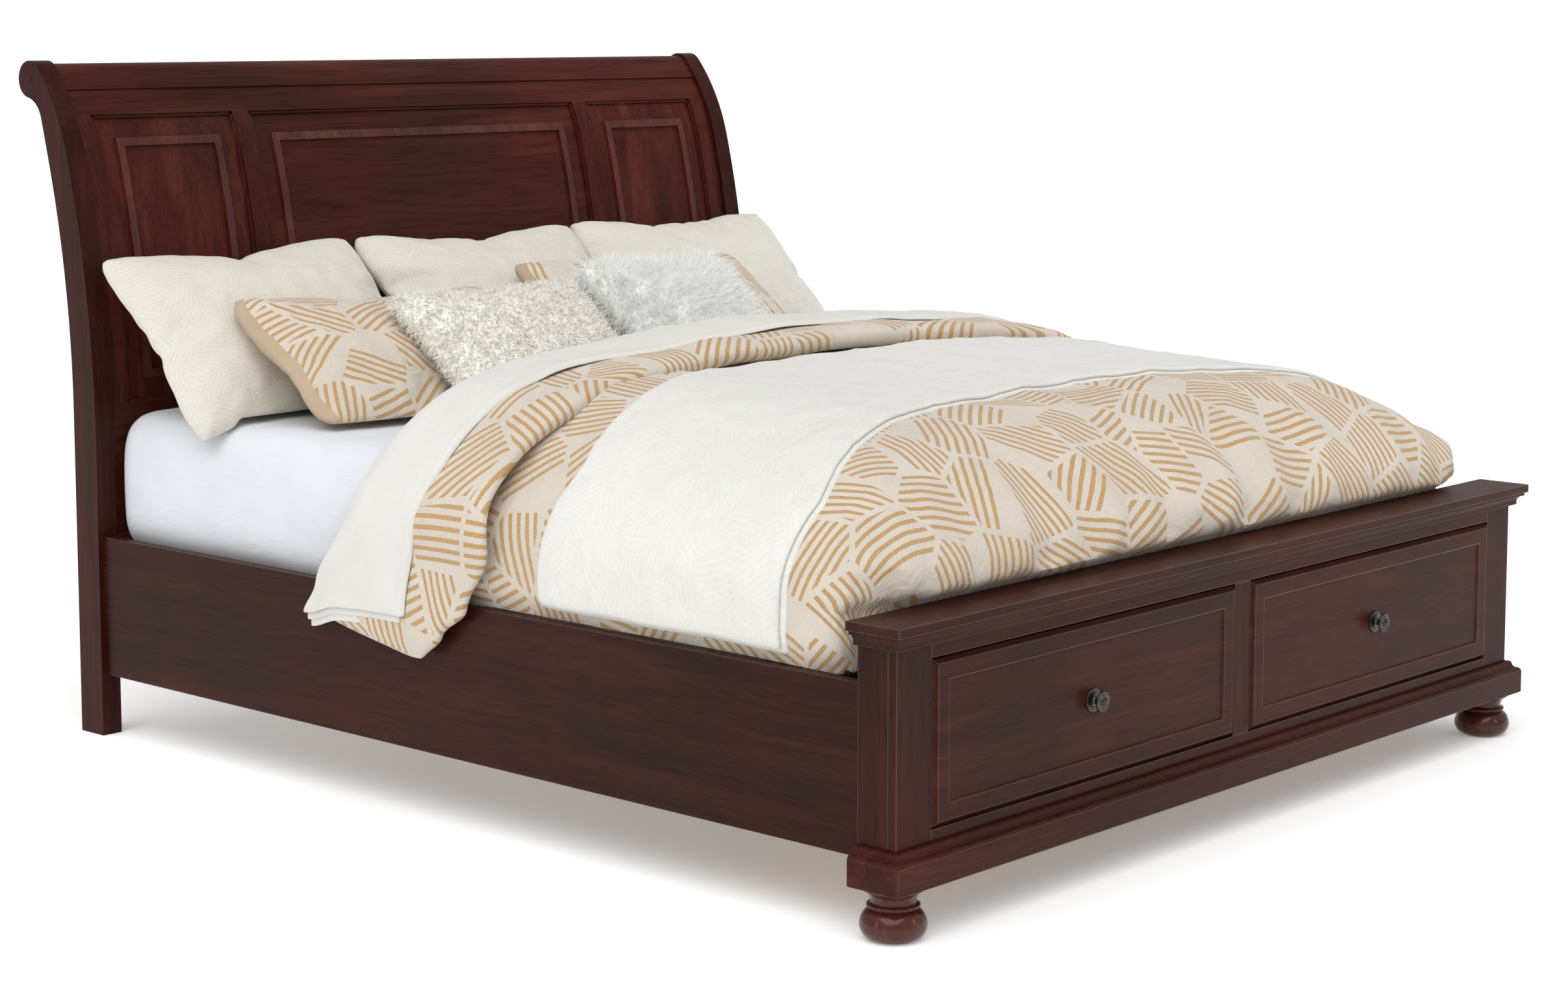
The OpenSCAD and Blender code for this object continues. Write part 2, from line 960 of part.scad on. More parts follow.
// The duvet covers the foot of the bed, is tucked in at the sides and the foot,
// and is folded back once towards the foot, where its sides hang over the rails.
module duvet() {
    low = sleep_z + 2;
    top = low + duvet_t;
    tuck = [mattress_w / 2 + 2, rail_in - 2];
    foot = foot_back + 4;
    color(linen) {
        box([-rail_in, rail_in], [foot, band_y[1]], [low, top]);
        box([-tuck[1], tuck[1]], [foot, mattress_y - 2], [mattress_z + 20, low + 1]);
        both_sides()
            box(tuck, [foot, band_y[0]], [mattress_z + 20, low + 1]);
        box([-flap_x - 22, flap_x + 22], [band_y[0] + 50, band_y[1]], [low, top]);
        box([-flap_x - 22, flap_x + 22], band_y, [top - 1, top + band_t]);
        both_sides()
            box([flap_x, flap_x + 22], [band_y[0] + 50, band_y[1]], [330, low + 1]);
    }
}

// The flat sheet lies on the mattress and is turned down over the folded duvet
module flat_sheet() {
    t = 6;
    x = flap_x + 20;
    low = sleep_z + 2;
    fold = band_y[1] + 2;
    top = low + duvet_t + band_t + 2;
    color(ivory) {
        box([-x, x], [fold, fold + 120], [low, low + t]);
        box([-x, x], [fold, fold + t], [low, top]);
        box([-x, x], [fold - 60, fold + t], [top - 1, top + t]);
        both_sides()
            box([x - t, x], [fold, fold + 280], [366, low + 1]);
    }
}

module throw() {
    y = [foot_y + 420, foot_y + 1020];
    t = 12;
    low = sleep_z + duvet_t + 4;
    x = rail_in + 3;
    color(ivory) {
        box([-x - t, x + t], y, [low, low + t]);
        both_sides()
            box([x, x + t], y, [rail_top + 6, low + 1]);
    }
}

// A pillow with bulging faces: w wide, h high and t thick, leaning back
module pillow(pos, size, lean) {
    w = size[0];
    h = size[1];
    t = size[2];
    edge = 0.25;
    function bulge(s) = t / 2 * (edge + (1 - edge) * cos(90 * s));
    function lens(l) = concat(
        [for (i = [-6 : 6]) [i / 6 * l / 2, bulge(i / 6)]],
        [for (i = [6 : -1 : -6]) [i / 6 * l / 2, -bulge(i / 6)]]);
    translate(pos)
        rotate([-lean, 0, 0])
            intersection() {
                translate([0, 0, -h / 2])
                    linear_extrude(height = h)
                        polygon(lens(w));
                rotate([0, 90, 0])
                    translate([0, 0, -w / 2])
                        linear_extrude(height = w)
                            polygon(lens(h));
            }
}

module back_pillows() {
    color(ivory)
        for (x = [-1 : 1])
            pillow([x * 685, head_y - 187, sleep_z + 182], [680, 460, 140], 45);
}

module patterned_pillows() {
    color(linen)
        for (x = [-520, 270])
            pillow([x, head_y - 442, sleep_z + 134], [740, 420, 110], 56);
}

module boucle_pillow() {
    color(ivory)
        pillow([-343, head_y - 630, sleep_z + 128], [540, 400, 100], 56);
}

module fur_pillow() {
    color("white")
        pillow([190, head_y - 630, sleep_z + 128], [460, 400, 100], 56);
}

left_head_post();
right_head_post();
left_head_leg();
right_head_leg();
crest_roll();
headboard_top_rail();
headboard_stiles();
headboard_mullions();
headboard_side_panels();
headboard_centre_panel();
panel_beads();
headboard_bottom_rail();
headboard_lower_panel();
headboard_cross_rail();
screw_caps();
left_side_rail();
right_side_rail();
slat_cleats();
rail_hooks();
lap_bolts();
centre_beam();
support_legs();
levelling_feet();
slats();
footboard_stiles();
footboard_top_rail();
footboard_bottom_rail();
footboard_sides();
footboard_back_panel();
footboard_base_board();
footboard_cap();
cornice_moulding();
base_moulding();
plinth();
bun_feet();
drawer_case();
drawer_case_back();
slide_outer_members();
left() drawer_front();  // left_drawer_front
left() drawer_panel();  // left_drawer_panel
left() drawer_box();  // left_drawer_box
left() drawer_bottom();  // left_drawer_bottom
left() drawer_knob();  // left_drawer_knob
left() slide_inner();  // left_slide_inner
left() slide_middle();  // left_slide_middle
drawer_front();  // right_drawer_front
drawer_panel();  // right_drawer_panel
drawer_box();  // right_drawer_box
drawer_bottom();  // right_drawer_bottom
drawer_knob();  // right_drawer_knob
slide_inner();  // right_slide_inner
slide_middle();  // right_slide_middle
mattress();
duvet();
flat_sheet();
throw();
back_pillows();
patterned_pillows();
boucle_pillow();
fur_pillow();
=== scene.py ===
import bisect
import math
import random

import bmesh
import bpy
from mathutils import Matrix, Vector, noise


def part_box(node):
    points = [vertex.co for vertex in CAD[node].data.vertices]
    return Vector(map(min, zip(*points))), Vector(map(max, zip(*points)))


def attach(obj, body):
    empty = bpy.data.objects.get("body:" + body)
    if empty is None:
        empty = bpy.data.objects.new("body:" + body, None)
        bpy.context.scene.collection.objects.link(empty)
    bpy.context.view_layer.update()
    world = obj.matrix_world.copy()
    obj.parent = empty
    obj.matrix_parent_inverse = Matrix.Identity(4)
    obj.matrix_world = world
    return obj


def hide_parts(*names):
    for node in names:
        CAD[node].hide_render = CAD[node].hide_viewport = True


# A sleigh bed with a made-up mattress. Lengths are in metres. The timber and the
# metal follow the CAD nodes; the bedding is built here in place of its plain solids.
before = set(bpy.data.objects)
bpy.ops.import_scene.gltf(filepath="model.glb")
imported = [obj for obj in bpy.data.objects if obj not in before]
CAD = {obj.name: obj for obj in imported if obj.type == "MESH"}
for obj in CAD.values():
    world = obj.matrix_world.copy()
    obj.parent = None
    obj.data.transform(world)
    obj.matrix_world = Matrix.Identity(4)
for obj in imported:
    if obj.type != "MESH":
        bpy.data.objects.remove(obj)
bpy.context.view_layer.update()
FRAME_BODY = "bed_frame"
SIDES = {"left": -1, "right": 1}

# Places taken from the frame
FOOT_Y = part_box("footboard_stiles")[0].y
CAP_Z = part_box("footboard_cap")[1].z
HEAD_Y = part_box("left_head_post")[0].y
RAIL_IN, RAIL_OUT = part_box("right_side_rail")[0].x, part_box("right_side_rail")[1].x
RAIL_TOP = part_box("right_side_rail")[1].z
SLEEP_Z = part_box("mattress")[1].z


# Mesh helpers -----

def add_mesh(name, verts, faces, body=FRAME_BODY, uvs=None, crease_angle=40):
    """A new piece that rides on body. uvs holds one (u, v) for each vertex."""
    mesh = bpy.data.meshes.new(name)
    mesh.from_pydata([tuple(v) for v in verts], [], faces)
    if uvs:
        layer = mesh.uv_layers.new(name="cloth")
        for loop in mesh.loops:
            layer.data[loop.index].uv = uvs[loop.vertex_index]
    mesh.shade_smooth()
    mesh.set_sharp_from_angle(angle=math.radians(crease_angle))
    piece = bpy.data.objects.new(name, mesh)
    bpy.context.scene.collection.objects.link(piece)
    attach(piece, body)
    return piece


def unpacked(mesh):
    """The points, the faces and the faces' material numbers of a bmesh, which is freed."""
    mesh.verts.index_update()
    verts = [v.co.copy() for v in mesh.verts]
    faces = [[v.index for v in f.verts] for f in mesh.faces]
    marks = [f.material_index for f in mesh.faces]
    mesh.free()
    return verts, faces, marks


def grid_faces(rows, columns, wrap_columns=False, start=0):
    """Quads between the points of a grid that is stored row by row from index start."""
    faces = []
    for i in range(rows - 1):
        a, b = start + i * columns, start + (i + 1) * columns
        for c in range(columns if wrap_columns else columns - 1):
            d = (c + 1) % columns
            faces.append([a + c, b + c, b + d, a + d])
    return faces


def add_modifier(piece, kind, **settings):
    modifier = piece.modifiers.new(kind.lower(), kind)
    for key, value in settings.items():
        setattr(modifier, key, value)
    return modifier


def paint(piece, *materials):
    piece.data.materials.clear()
    for material in materials:
        piece.data.materials.append(material)


def smoothstep(x, low=0.0, high=1.0):
    t = min(1.0, max(0.0, (x - low) / (high - low)))
    return t * t * (3 - 2 * t)


def mix(a, b, t):
    return a + (b - a) * t


def noise_at(*place):
    return noise.noise(Vector(place))


# Materials -----

class Nodes:
    """A short way to write a material's node tree. Inputs are given by name, with _ for a
    space, or by number, as _0."""

    def __init__(self, name):
        self.material = bpy.data.materials.new(name)
        self.material.use_nodes = True
        self.tree = self.material.node_tree
        self.shader = self.tree.nodes["Principled BSDF"]

    def add(self, kind, settings=None, **inputs):
        node = self.tree.nodes.new("ShaderNode" + kind)
        for key, value in (settings or {}).items():
            setattr(node, key, value)
        for key, value in inputs.items():
            self.set(node, key, value)
        return node

    def set(self, node, key, value):
        place = int(key[1:]) if key[0] == "_" else key.replace("_", " ")
        socket = node.inputs[place]
        if isinstance(value, bpy.types.NodeSocket):
            self.tree.links.new(value, socket)
        else:
            socket.default_value = value

    def shade(self, **inputs):
        for key, value in inputs.items():
            self.set(self.shader, key, value)

    def on_piece(self):
        return self.add("TexCoord").outputs["Object"]

    def on_cloth(self):
        return self.add("UVMap", {"uv_map": "cloth"}).outputs[0]

    def math(self, operation, a, b=0.0, c=0.0):
        return self.add("Math", {"operation": operation}, _0=a, _1=b, _2=c).outputs[0]

    def ramp(self, factor, *stops):
        node = self.add("ValToRGB", _0=factor)
        elements = node.color_ramp.elements
        while len(elements) < len(stops):
            elements.new(0.5)
        for element, (place, colour) in zip(elements, stops):
            element.position = place
            element.color = (*colour, 1.0)
        return node.outputs[0]

    def blend(self, factor, a, b, how="MIX"):
        node = self.add("Mix", {"data_type": "RGBA", "blend_type": how}, _0=factor)
        for key, value in (("_6", a), ("_7", b)):
            self.set(node, key, (*value, 1.0) if isinstance(value, tuple) else value)
        return node.outputs[2]

    def noise(self, vector, scale, detail=4.0, roughness=0.5, distortion=0.0):
        node = self.add("TexNoise", Vector=vector, Scale=scale, Detail=detail,
                        Roughness=roughness, Distortion=distortion)
        return node.outputs[0]

    def stretch(self, vector, scale, turn=(0, 0, 0)):
        node = self.add("Mapping", Vector=vector, Rotation=turn, Scale=scale)
        return node.outputs[0]

    def bump(self, height, distance, strength=1.0, under=None):
        node = self.add("Bump", Height=height, Distance=distance, Strength=strength)
        if under:
            self.set(node, "Normal", under)
        return node.outputs[0]


def along_grain(grain, across, along):
    """Texture scales that draw a pattern out along the grain's axis."""
    scale = [across] * 3
    scale["XYZ".index(grain)] = along
    return scale


CHERRY_SHADES = ((0.30, (0.026, 0.0056, 0.0038)), (0.52, (0.045, 0.0100, 0.0062)),
                 (0.75, (0.074, 0.019, 0.012)))
FACE_COAT, EDGE_COAT = 0.06, 0.6
# The edges' colour is this much lighter than the faces': partly rubbed wear, partly a painted
# highlight.
EDGE_WEAR_AND_HIGHLIGHT_TONE = 1.5


def wood(name, grain, lit_tone, coat):
    """Dark cherry with a satin lacquer. grain is the axis that its fibres follow."""
    nodes = Nodes(name)
    place = nodes.on_piece()
    cloud = nodes.noise(place, 2.3, 3.0)
    figure = nodes.noise(nodes.stretch(place, along_grain(grain, 16.0, 1.1)),
                         1.0, 6.0, 0.62, 0.9)
    pores = nodes.noise(nodes.stretch(place, along_grain(grain, 230.0, 9.0)), 1.0, 3.0, 0.6)
    # tone scales the whole colour: painted light and shade.
    colour = nodes.ramp(figure, *((stop, tuple(lit_tone * c for c in shade))
                                  for stop, shade in CHERRY_SHADES))
    olive = nodes.ramp(cloud, (0.38, (0.80, 0.92, 0.86)), (0.62, (1.18, 1.0, 0.98)))
    colour = nodes.blend(1.0, colour, olive, "MULTIPLY")
    streak = nodes.ramp(pores, (0.36, (0.55, 0.5, 0.5)), (0.5, (1.0, 1.0, 1.0)))
    colour = nodes.blend(0.75, colour, streak, "MULTIPLY")
    rough = nodes.math("MULTIPLY_ADD", figure, 0.22, 0.30)
    bump = nodes.bump(pores, 0.0002, 0.35, nodes.bump(figure, 0.0006, 0.25))
    nodes.shade(Base_Color=colour, Roughness=rough, Normal=bump, Specular_IOR_Level=0.09,
                Coat_Weight=coat, Coat_Roughness=0.14)
    return nodes.material


def cherry(name, lit_tone):
    """The face and the edge of one group of boards, by the axis of the grain. The group's tone is
    painted light and shade, and its edge is lighter still: partly rubbed wear, partly a painted
    highlight.
    """
    return {axis: (wood(f"{name}_{axis.lower()}", axis, lit_tone, FACE_COAT),
                   wood(f"{name}_edge_{axis.lower()}", axis, lit_tone * EDGE_WEAR_AND_HIGHLIGHT_TONE, EDGE_COAT))
            for axis in "XYZ"}


# Each group's tone is painted light and shade: the headboard and its side panels are painted
# lighter, as if lit more, and the rails and posts darker, as if in shade.
LIT_AND_SHADED_BOARDS = {"headboard": cherry("cherry_headboard", 1.28), "rail": cherry("cherry_rail", 0.74),
          "side_panel": cherry("cherry_side_panel", 1.60),
          "post": cherry("cherry_post", 0.80), "footboard": cherry("cherry_footboard", 0.95)}


def boards_of(node, grain):
    """The face and edge materials for a node."""
    if node == "headboard_side_panels":
        return LIT_AND_SHADED_BOARDS["side_panel"][grain]
    if node.startswith(("headboard", "crest", "panel", "screw")):
        return LIT_AND_SHADED_BOARDS["headboard"][grain]
    if "side_rail" in node:
        return LIT_AND_SHADED_BOARDS["rail"][grain]
    if node.endswith(("stiles", "sides", "post", "leg")):
        return LIT_AND_SHADED_BOARDS["post"][grain]
    return LIT_AND_SHADED_BOARDS["footboard"][grain]


def raw_wood(name, grain):
    """Pale, unfinished timber for the slats, the drawer boxes and the case."""
    nodes = Nodes(name)
    place = nodes.on_piece()
    figure = nodes.noise(nodes.stretch(place, along_grain(grain, 34.0, 1.6)),
                         1.0, 5.0, 0.6, 0.6)
    colour = nodes.ramp(figure, (0.32, (0.42, 0.27, 0.14)), (0.68, (0.66, 0.48, 0.29)))
    nodes.shade(Base_Color=colour, Roughness=0.62, Normal=nodes.bump(figure, 0.0005, 0.4))
    return nodes.material


RAW = {axis: raw_wood("pale_wood_" + axis.lower(), axis) for axis in "XYZ"}


def zinc():
    """Plated steel, for the slides and the hardware."""
    nodes = Nodes("zinc_plate")
    place = nodes.on_piece()
    spangle = nodes.noise(nodes.stretch(place, (300, 12, 300)), 1.0, 2.0)
    colour = nodes.ramp(spangle, (0.3, (0.42, 0.43, 0.45)), (0.7, (0.62, 0.63, 0.66)))
    rough = nodes.math("MULTIPLY_ADD", spangle, 0.2, 0.25)
    nodes.shade(Base_Color=colour, Roughness=rough, Metallic=1.0)
    return nodes.material


def pewter():
    """Blackened metal, rubbed bright on its rims."""
    nodes = Nodes("dark_pewter")
    place = nodes.on_piece()
    rim = nodes.add("NewGeometry").outputs["Pointiness"]
    worn = nodes.ramp(rim, (0.50, (0, 0, 0)), (0.56, (1, 1, 1)))
    tarnish = nodes.noise(place, 260.0, 4.0)
    dark = nodes.ramp(tarnish, (0.3, (0.030, 0.026, 0.023)), (0.7, (0.085, 0.075, 0.066)))
    colour = nodes.blend(worn, dark, (0.42, 0.38, 0.34))
    nodes.shade(Base_Color=colour, Roughness=0.34, Metallic=0.9,
                Normal=nodes.bump(tarnish, 0.0003, 0.3))
    return nodes.material


ZINC = zinc()
PEWTER = pewter()


# Timber -----

# How far the sharp edges are rounded off
BOARD_EASE = 0.0015
DRAWER_EASE = 0.0012
MOULDING_EASE = 0.0007
BOTTOM_EASE = 0.0005
BEAD_EASE = 0.0048


def eased(node, body, ease, material, edge=None, segments=2):
    """The CAD node's own shape with its sharp edges rounded off by ease."""
    low_angle, sharp_angle = math.radians(0.15), math.radians(25)
    mesh = bmesh.new()
    mesh.from_mesh(CAD[node].data)
    bmesh.ops.remove_doubles(mesh, verts=mesh.verts, dist=2e-5)
    bmesh.ops.dissolve_limit(mesh, angle_limit=low_angle, verts=mesh.verts, edges=mesh.edges)
    sharp = [e for e in mesh.edges
             if len(e.link_faces) == 2 and e.calc_face_angle() > sharp_angle]
    # The rounded faces take the edge material, lighter in colour: partly rubbed wear, partly a
    # painted highlight.
    bmesh.ops.bevel(mesh, geom=sharp, offset=ease, segments=segments, profile=0.6,
                    affect="EDGES", clamp_overlap=True, material=1 if edge else -1)
    verts, faces, marks = unpacked(mesh)
    piece = add_mesh(node + "_timber", verts, faces, body)
    paint(piece, *([material, edge] if edge else [material]))
    for polygon, mark in zip(piece.data.polygons, marks):
        polygon.material_index = mark if edge else 0
    add_modifier(piece, "WEIGHTED_NORMAL", keep_sharp=True)
    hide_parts(node)


# The timber nodes, by the axis of their grain
CHERRY = {
    "X": ["crest_roll", "headboard_top_rail", "headboard_centre_panel", "headboard_bottom_rail",
          "headboard_lower_panel", "headboard_cross_rail", "footboard_top_rail",
          "footboard_bottom_rail", "footboard_back_panel", "footboard_base_board",
          "footboard_cap", "plinth", "screw_caps"],
    "Y": ["left_side_rail", "right_side_rail"],
    "Z": ["left_head_post", "right_head_post", "left_head_leg", "right_head_leg",
          "headboard_stiles", "headboard_mullions", "headboard_side_panels",
          "footboard_stiles", "footboard_sides"],
}
PALE = {
    "X": ["slats", "drawer_case_back"],
    "Y": ["slat_cleats", "centre_beam", "drawer_case"],
    "Z": ["support_legs"],
}
METAL = ["rail_hooks", "lap_bolts", "levelling_feet", "slide_outer_members"]


def make_timber():
    for axis, names in CHERRY.items():
        for node in names:
            eased(node, FRAME_BODY, BOARD_EASE, *boards_of(node, axis))
    for axis, names in PALE.items():
        for node in names:
            eased(node, FRAME_BODY, BOARD_EASE, RAW[axis])
    # The beads are painted all over in the lighter edge colour: a painted highlight on them.
    eased("panel_beads", FRAME_BODY, BEAD_EASE, boards_of("panel_beads", "Z")[1], segments=4)
    for node in ("cornice_moulding", "base_moulding"):
        eased(node, FRAME_BODY, MOULDING_EASE, *boards_of(node, "X"))
    for side in SIDES:
        body = side + "_drawer"
        for part in ("front", "panel"):
            eased(f"{side}_drawer_{part}", body, DRAWER_EASE, *boards_of("drawer", "X"))
        eased(side + "_drawer_box", body, DRAWER_EASE, RAW["X"])
        eased(side + "_drawer_bottom", body, BOTTOM_EASE, RAW["X"])
        for node in (side + "_slide_inner", side + "_slide_middle"):
            paint(CAD[node], ZINC)
    for node in METAL:
        paint(CAD[node], ZINC)


def rounded(points):
    """An open outline with its corners cut twice over, ends kept."""
    for _ in range(2):
        cut = [points[0]]
        for a, b in zip(points, points[1:]):
            cut.append(tuple(mix(p, q, 0.25) for p, q in zip(a, b)))
            cut.append(tuple(mix(p, q, 0.75) for p, q in zip(a, b)))
        points = cut + [points[-1]]
    return points


def turned(outline, centre, axis):
    """Points and faces of a lathe-turned shape. outline holds (radius, distance along the
    axis) in millimetres, from the middle of one end to the middle of the other."""
    around = 72
    axis = Vector(axis)
    across = axis.orthogonal().normalized()
    other = axis.cross(across)
    verts = []
    for radius, reach in outline[1:-1]:
        for k in range(around):
            angle = 2 * math.pi * k / around
            way = across * math.cos(angle) + other * math.sin(angle)
            verts.append(Vector(centre) + (axis * reach + way * radius) / 1000)
    rings = len(outline) - 2
    faces = grid_faces(rings, around, wrap_columns=True)
    for row, end in ((0, outline[0]), (rings - 1, outline[-1])):
        tip = len(verts)
        verts.append(Vector(centre) + axis * end[1] / 1000)
        for k in range(around):
            quad = [row * around + k, row * around + (k + 1) % around, tip]
            faces.append(quad[::-1] if row == 0 else quad)
    return verts, faces


FOOT_OUTLINE = [(0, 0), (36, 0), (40, 1), (52, 8), (58, 20), (58, 32), (52, 46), (44, 52),
                (40, 53), (40, 55), (45, 56), (46.5, 59), (45, 62), (41, 63), (39, 65), (39, 68),
                (41, 74), (45, 81), (51, 85), (53, 86), (53, 91), (0, 91)]
KNOB_OUTLINE = [(0, 0), (21, 0), (22, 0.6), (22, 2.2), (20.5, 3), (19, 2.4), (17.5, 3.2),
                (13, 4), (9, 4.4), (6.6, 6), (5.8, 10), (6.6, 14), (10, 17.5), (16, 18.8),
                (19.4, 20), (20, 22), (19.4, 24), (17.6, 24.6), (16.4, 23.4), (15.2, 23.2),
                (14.2, 24.6), (12.8, 25), (11.4, 23.8), (10.2, 23.8), (8.6, 26), (5.4, 29),
                (2.6, 30), (0, 30)]


FOOT_RADIUS = 0.058
KNOB_LENGTH = 0.030


def make_turned():
    """The bun feet and the drawer knobs."""
    low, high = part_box("bun_feet")
    for side, sign in SIDES.items():
        centre = (sign * (high.x - FOOT_RADIUS), low.y + FOOT_RADIUS, 0)
        foot = add_mesh(side + "_bun_foot", *turned(rounded(FOOT_OUTLINE), centre, (0, 0, 1)),
                        crease_angle=50)
        # The feet take the lighter edge colour, which is partly a painted highlight.
        paint(foot, boards_of("foot", "Z")[1])
        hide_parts("bun_feet")
        node = side + "_drawer_knob"
        low_knob, high_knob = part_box(node)
        centre = ((low_knob.x + high_knob.x) / 2, low_knob.y + KNOB_LENGTH,
                  (low_knob.z + high_knob.z) / 2)
        knob = add_mesh(side + "_knob", *turned(rounded(KNOB_OUTLINE), centre, (0, -1, 0)),
                        side + "_drawer", crease_angle=50)
        paint(knob, PEWTER)
        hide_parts(node)


make_timber()
make_turned()


# Cloth materials -----

FULL_TURN = 6.283


def cloth_shader(nodes, colour, normal, roughness, sheen):
    nodes.shade(Base_Color=colour, Roughness=roughness, Normal=normal, Sheen_Weight=sheen,
                Specular_IOR_Level=0.25)
    return nodes.material


def weave(nodes, place, pitch):
    """Fine crossing threads, as a height from 0 to 1."""
    waves = []
    for direction in "XY":
        settings = {"wave_type": "BANDS", "bands_direction": direction}
        wave = nodes.add("TexWave", settings, Vector=place, Scale=1 / (FULL_TURN * pitch),
                         Distortion=1.5, Detail=1.0)
        waves.append(wave.outputs[1])
    return nodes.math("MAXIMUM", *waves)


def stroke_patches(nodes, place, cell, pitch, share, margin, cut):
    """Patches of parallel strokes, each patch turned its own way. 1 on a stroke. Patches are
    cell wide with a bare margin, and strokes lie pitch apart and take a share of it. What
    lies beyond cut, across the strokes from a patch's middle, is left bare."""
    bend, wander = 0.05, 0.012
    flat = {"voronoi_dimensions": "2D"}
    scaled = nodes.add("VectorMath", {"operation": "SCALE"}, _0=place, Scale=1 / cell).outputs[0]
    patch = nodes.add("TexVoronoi", flat, Vector=scaled, Scale=1.0, Randomness=0.85)
    rim = nodes.add("TexVoronoi", {**flat, "feature": "DISTANCE_TO_EDGE"}, Vector=scaled,
                    Scale=1.0, Randomness=0.85)
    local = nodes.add("VectorMath", {"operation": "SUBTRACT"}, _0=scaled,
                      _1=patch.outputs["Position"]).outputs[0]
    chance = nodes.add("SeparateColor", _0=patch.outputs["Color"])
    angle = nodes.math("MULTIPLY", chance.outputs[0], FULL_TURN)
    turned = nodes.add("VectorRotate", {"rotation_type": "Z_AXIS"}, Vector=local, Angle=angle)
    across = nodes.add("SeparateXYZ", _0=turned.outputs[0])
    square = nodes.math("MULTIPLY", across.outputs[0], across.outputs[0])
    run = nodes.math("ADD", across.outputs[1], nodes.math("MULTIPLY", square, bend))
    drift = nodes.noise(place, 55.0, 2.0)
    run = nodes.math("ADD", run, nodes.math("MULTIPLY", drift, wander))
    phase = nodes.math("FRACT", nodes.math("MULTIPLY", run, cell / pitch))
    stroke = nodes.math("LESS_THAN", nodes.math("ABSOLUTE", nodes.math("SUBTRACT", phase, 0.5)),
                        share / 2)
    side = nodes.math("GREATER_THAN", across.outputs[1], cut)
    inside = nodes.math("GREATER_THAN", rim.outputs["Distance"], margin)
    return nodes.math("MULTIPLY", nodes.math("MULTIPLY", stroke, inside), side)


def printed_linen():
    """Beige linen printed with patches of ochre strokes."""
    nodes = Nodes("printed_linen")
    place = nodes.on_cloth()
    strokes = stroke_patches(nodes, place, 0.140, 0.0190, 0.43, margin=0.040, cut=-0.27)
    slub = nodes.noise(nodes.stretch(place, (60, 700, 1)), 1.0, 2.0)
    mottle = nodes.noise(place, 6.0, 4.0)
    base = nodes.ramp(mottle, (0.3, (0.59, 0.53, 0.45)), (0.7, (0.66, 0.60, 0.52)))
    ink = nodes.ramp(nodes.noise(place, 320.0, 3.0), (0.25, (0.55, 0.38, 0.21)),
                     (0.6, (0.46, 0.27, 0.11)))
    colour = nodes.blend(strokes, base, ink)
    colour = nodes.blend(0.18, colour, nodes.ramp(slub, (0.35, (0.72,) * 3), (0.6, (1.0,) * 3)),
                         "MULTIPLY")
    crumple = nodes.noise(place, 13.0, 5.0, 0.6, 1.3)
    normal = nodes.bump(weave(nodes, place, 0.0016), 0.0004, 0.35,
                        nodes.bump(slub, 0.0004, 0.3, nodes.bump(crumple, 0.016, 0.45)))
    return cloth_shader(nodes, colour, normal, 0.9, 0.2)


def plain_cloth(name, light, dark):
    """Smooth cotton with a fine weave and small soft creases."""
    nodes = Nodes(name)
    place = nodes.on_cloth()
    mottle = nodes.noise(place, 7.0, 3.0)
    creases = nodes.noise(nodes.stretch(place, (9, 26, 1), (0, 0, 0.5)), 1.0, 5.0, 0.55, 1.2)
    colour = nodes.ramp(mottle, (0.3, dark), (0.7, light))
    normal = nodes.bump(weave(nodes, place, 0.0012), 0.0003, 0.25,
                        nodes.bump(creases, 0.006, 0.35))
    return cloth_shader(nodes, colour, normal, 0.85, 0.15)


def plush(name, light, dark, pitch, fineness):
    """Short pile with a pattern of pressed ribs, pitch apart."""
    nodes = Nodes(name)
    place = nodes.on_cloth()
    ribs = stroke_patches(nodes, place, pitch * 5, pitch, 0.5, margin=0.0, cut=-2.0)
    fuzz = nodes.noise(place, fineness, 4.0, 0.7)
    lay = nodes.noise(nodes.stretch(place, (18, 40, 1), (0, 0, 0.8)), 1.0, 4.0, 0.6, 1.0)
    colour = nodes.blend(nodes.math("MULTIPLY", ribs, 0.20), light, dark)
    shade = nodes.ramp(lay, (0.35, (0.90, 0.89, 0.87)), (0.6, (1, 1, 1)))
    colour = nodes.blend(0.4, colour, shade, "MULTIPLY")
    crumple = nodes.noise(place, 11.0, 4.0, 0.6, 1.0)
    normal = nodes.bump(fuzz, 0.0016, 0.5,
                        nodes.bump(ribs, 0.0028, 0.7, nodes.bump(crumple, 0.014, 0.35)))
    return cloth_shader(nodes, colour, normal, 0.95, 0.5)


LINEN = printed_linen()
IVORY = plain_cloth("ivory_cotton", (0.71, 0.70, 0.665), (0.67, 0.66, 0.615))
WHITE = plain_cloth("white_percale", (0.71, 0.73, 0.765), (0.66, 0.68, 0.725))
THROW = plush("ivory_plush", (0.77, 0.765, 0.73), (0.66, 0.645, 0.59), 0.012, 420.0)
QUILT = plush("cream_quilt", (0.72, 0.69, 0.61), (0.57, 0.535, 0.445), 0.010, 500.0)


# Bedding shapes -----

def dress(piece, node, slot, *materials, levels=0):
    """Paint a soft piece, smooth it, and hide its CAD node."""
    paint(piece, *materials)
    add_modifier(piece, "SUBSURF", levels=levels, render_levels=1)
    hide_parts(node)


def resample(points, count):
    """count + 1 points at equal steps along a polyline, and its length."""
    reach = [0.0]
    for a, b in zip(points, points[1:]):
        reach.append(reach[-1] + math.dist(a, b))
    result, k = [], 0
    for i in range(count + 1):
        target = reach[-1] * i / count
        while k < len(points) - 2 and reach[k + 1] < target:
            k += 1
        share = (target - reach[k]) / (reach[k + 1] - reach[k])
        result.append(tuple(mix(p, q, share) for p, q in zip(points[k], points[k + 1])))
    return result, reach[-1]


PATH_STEPS = 400


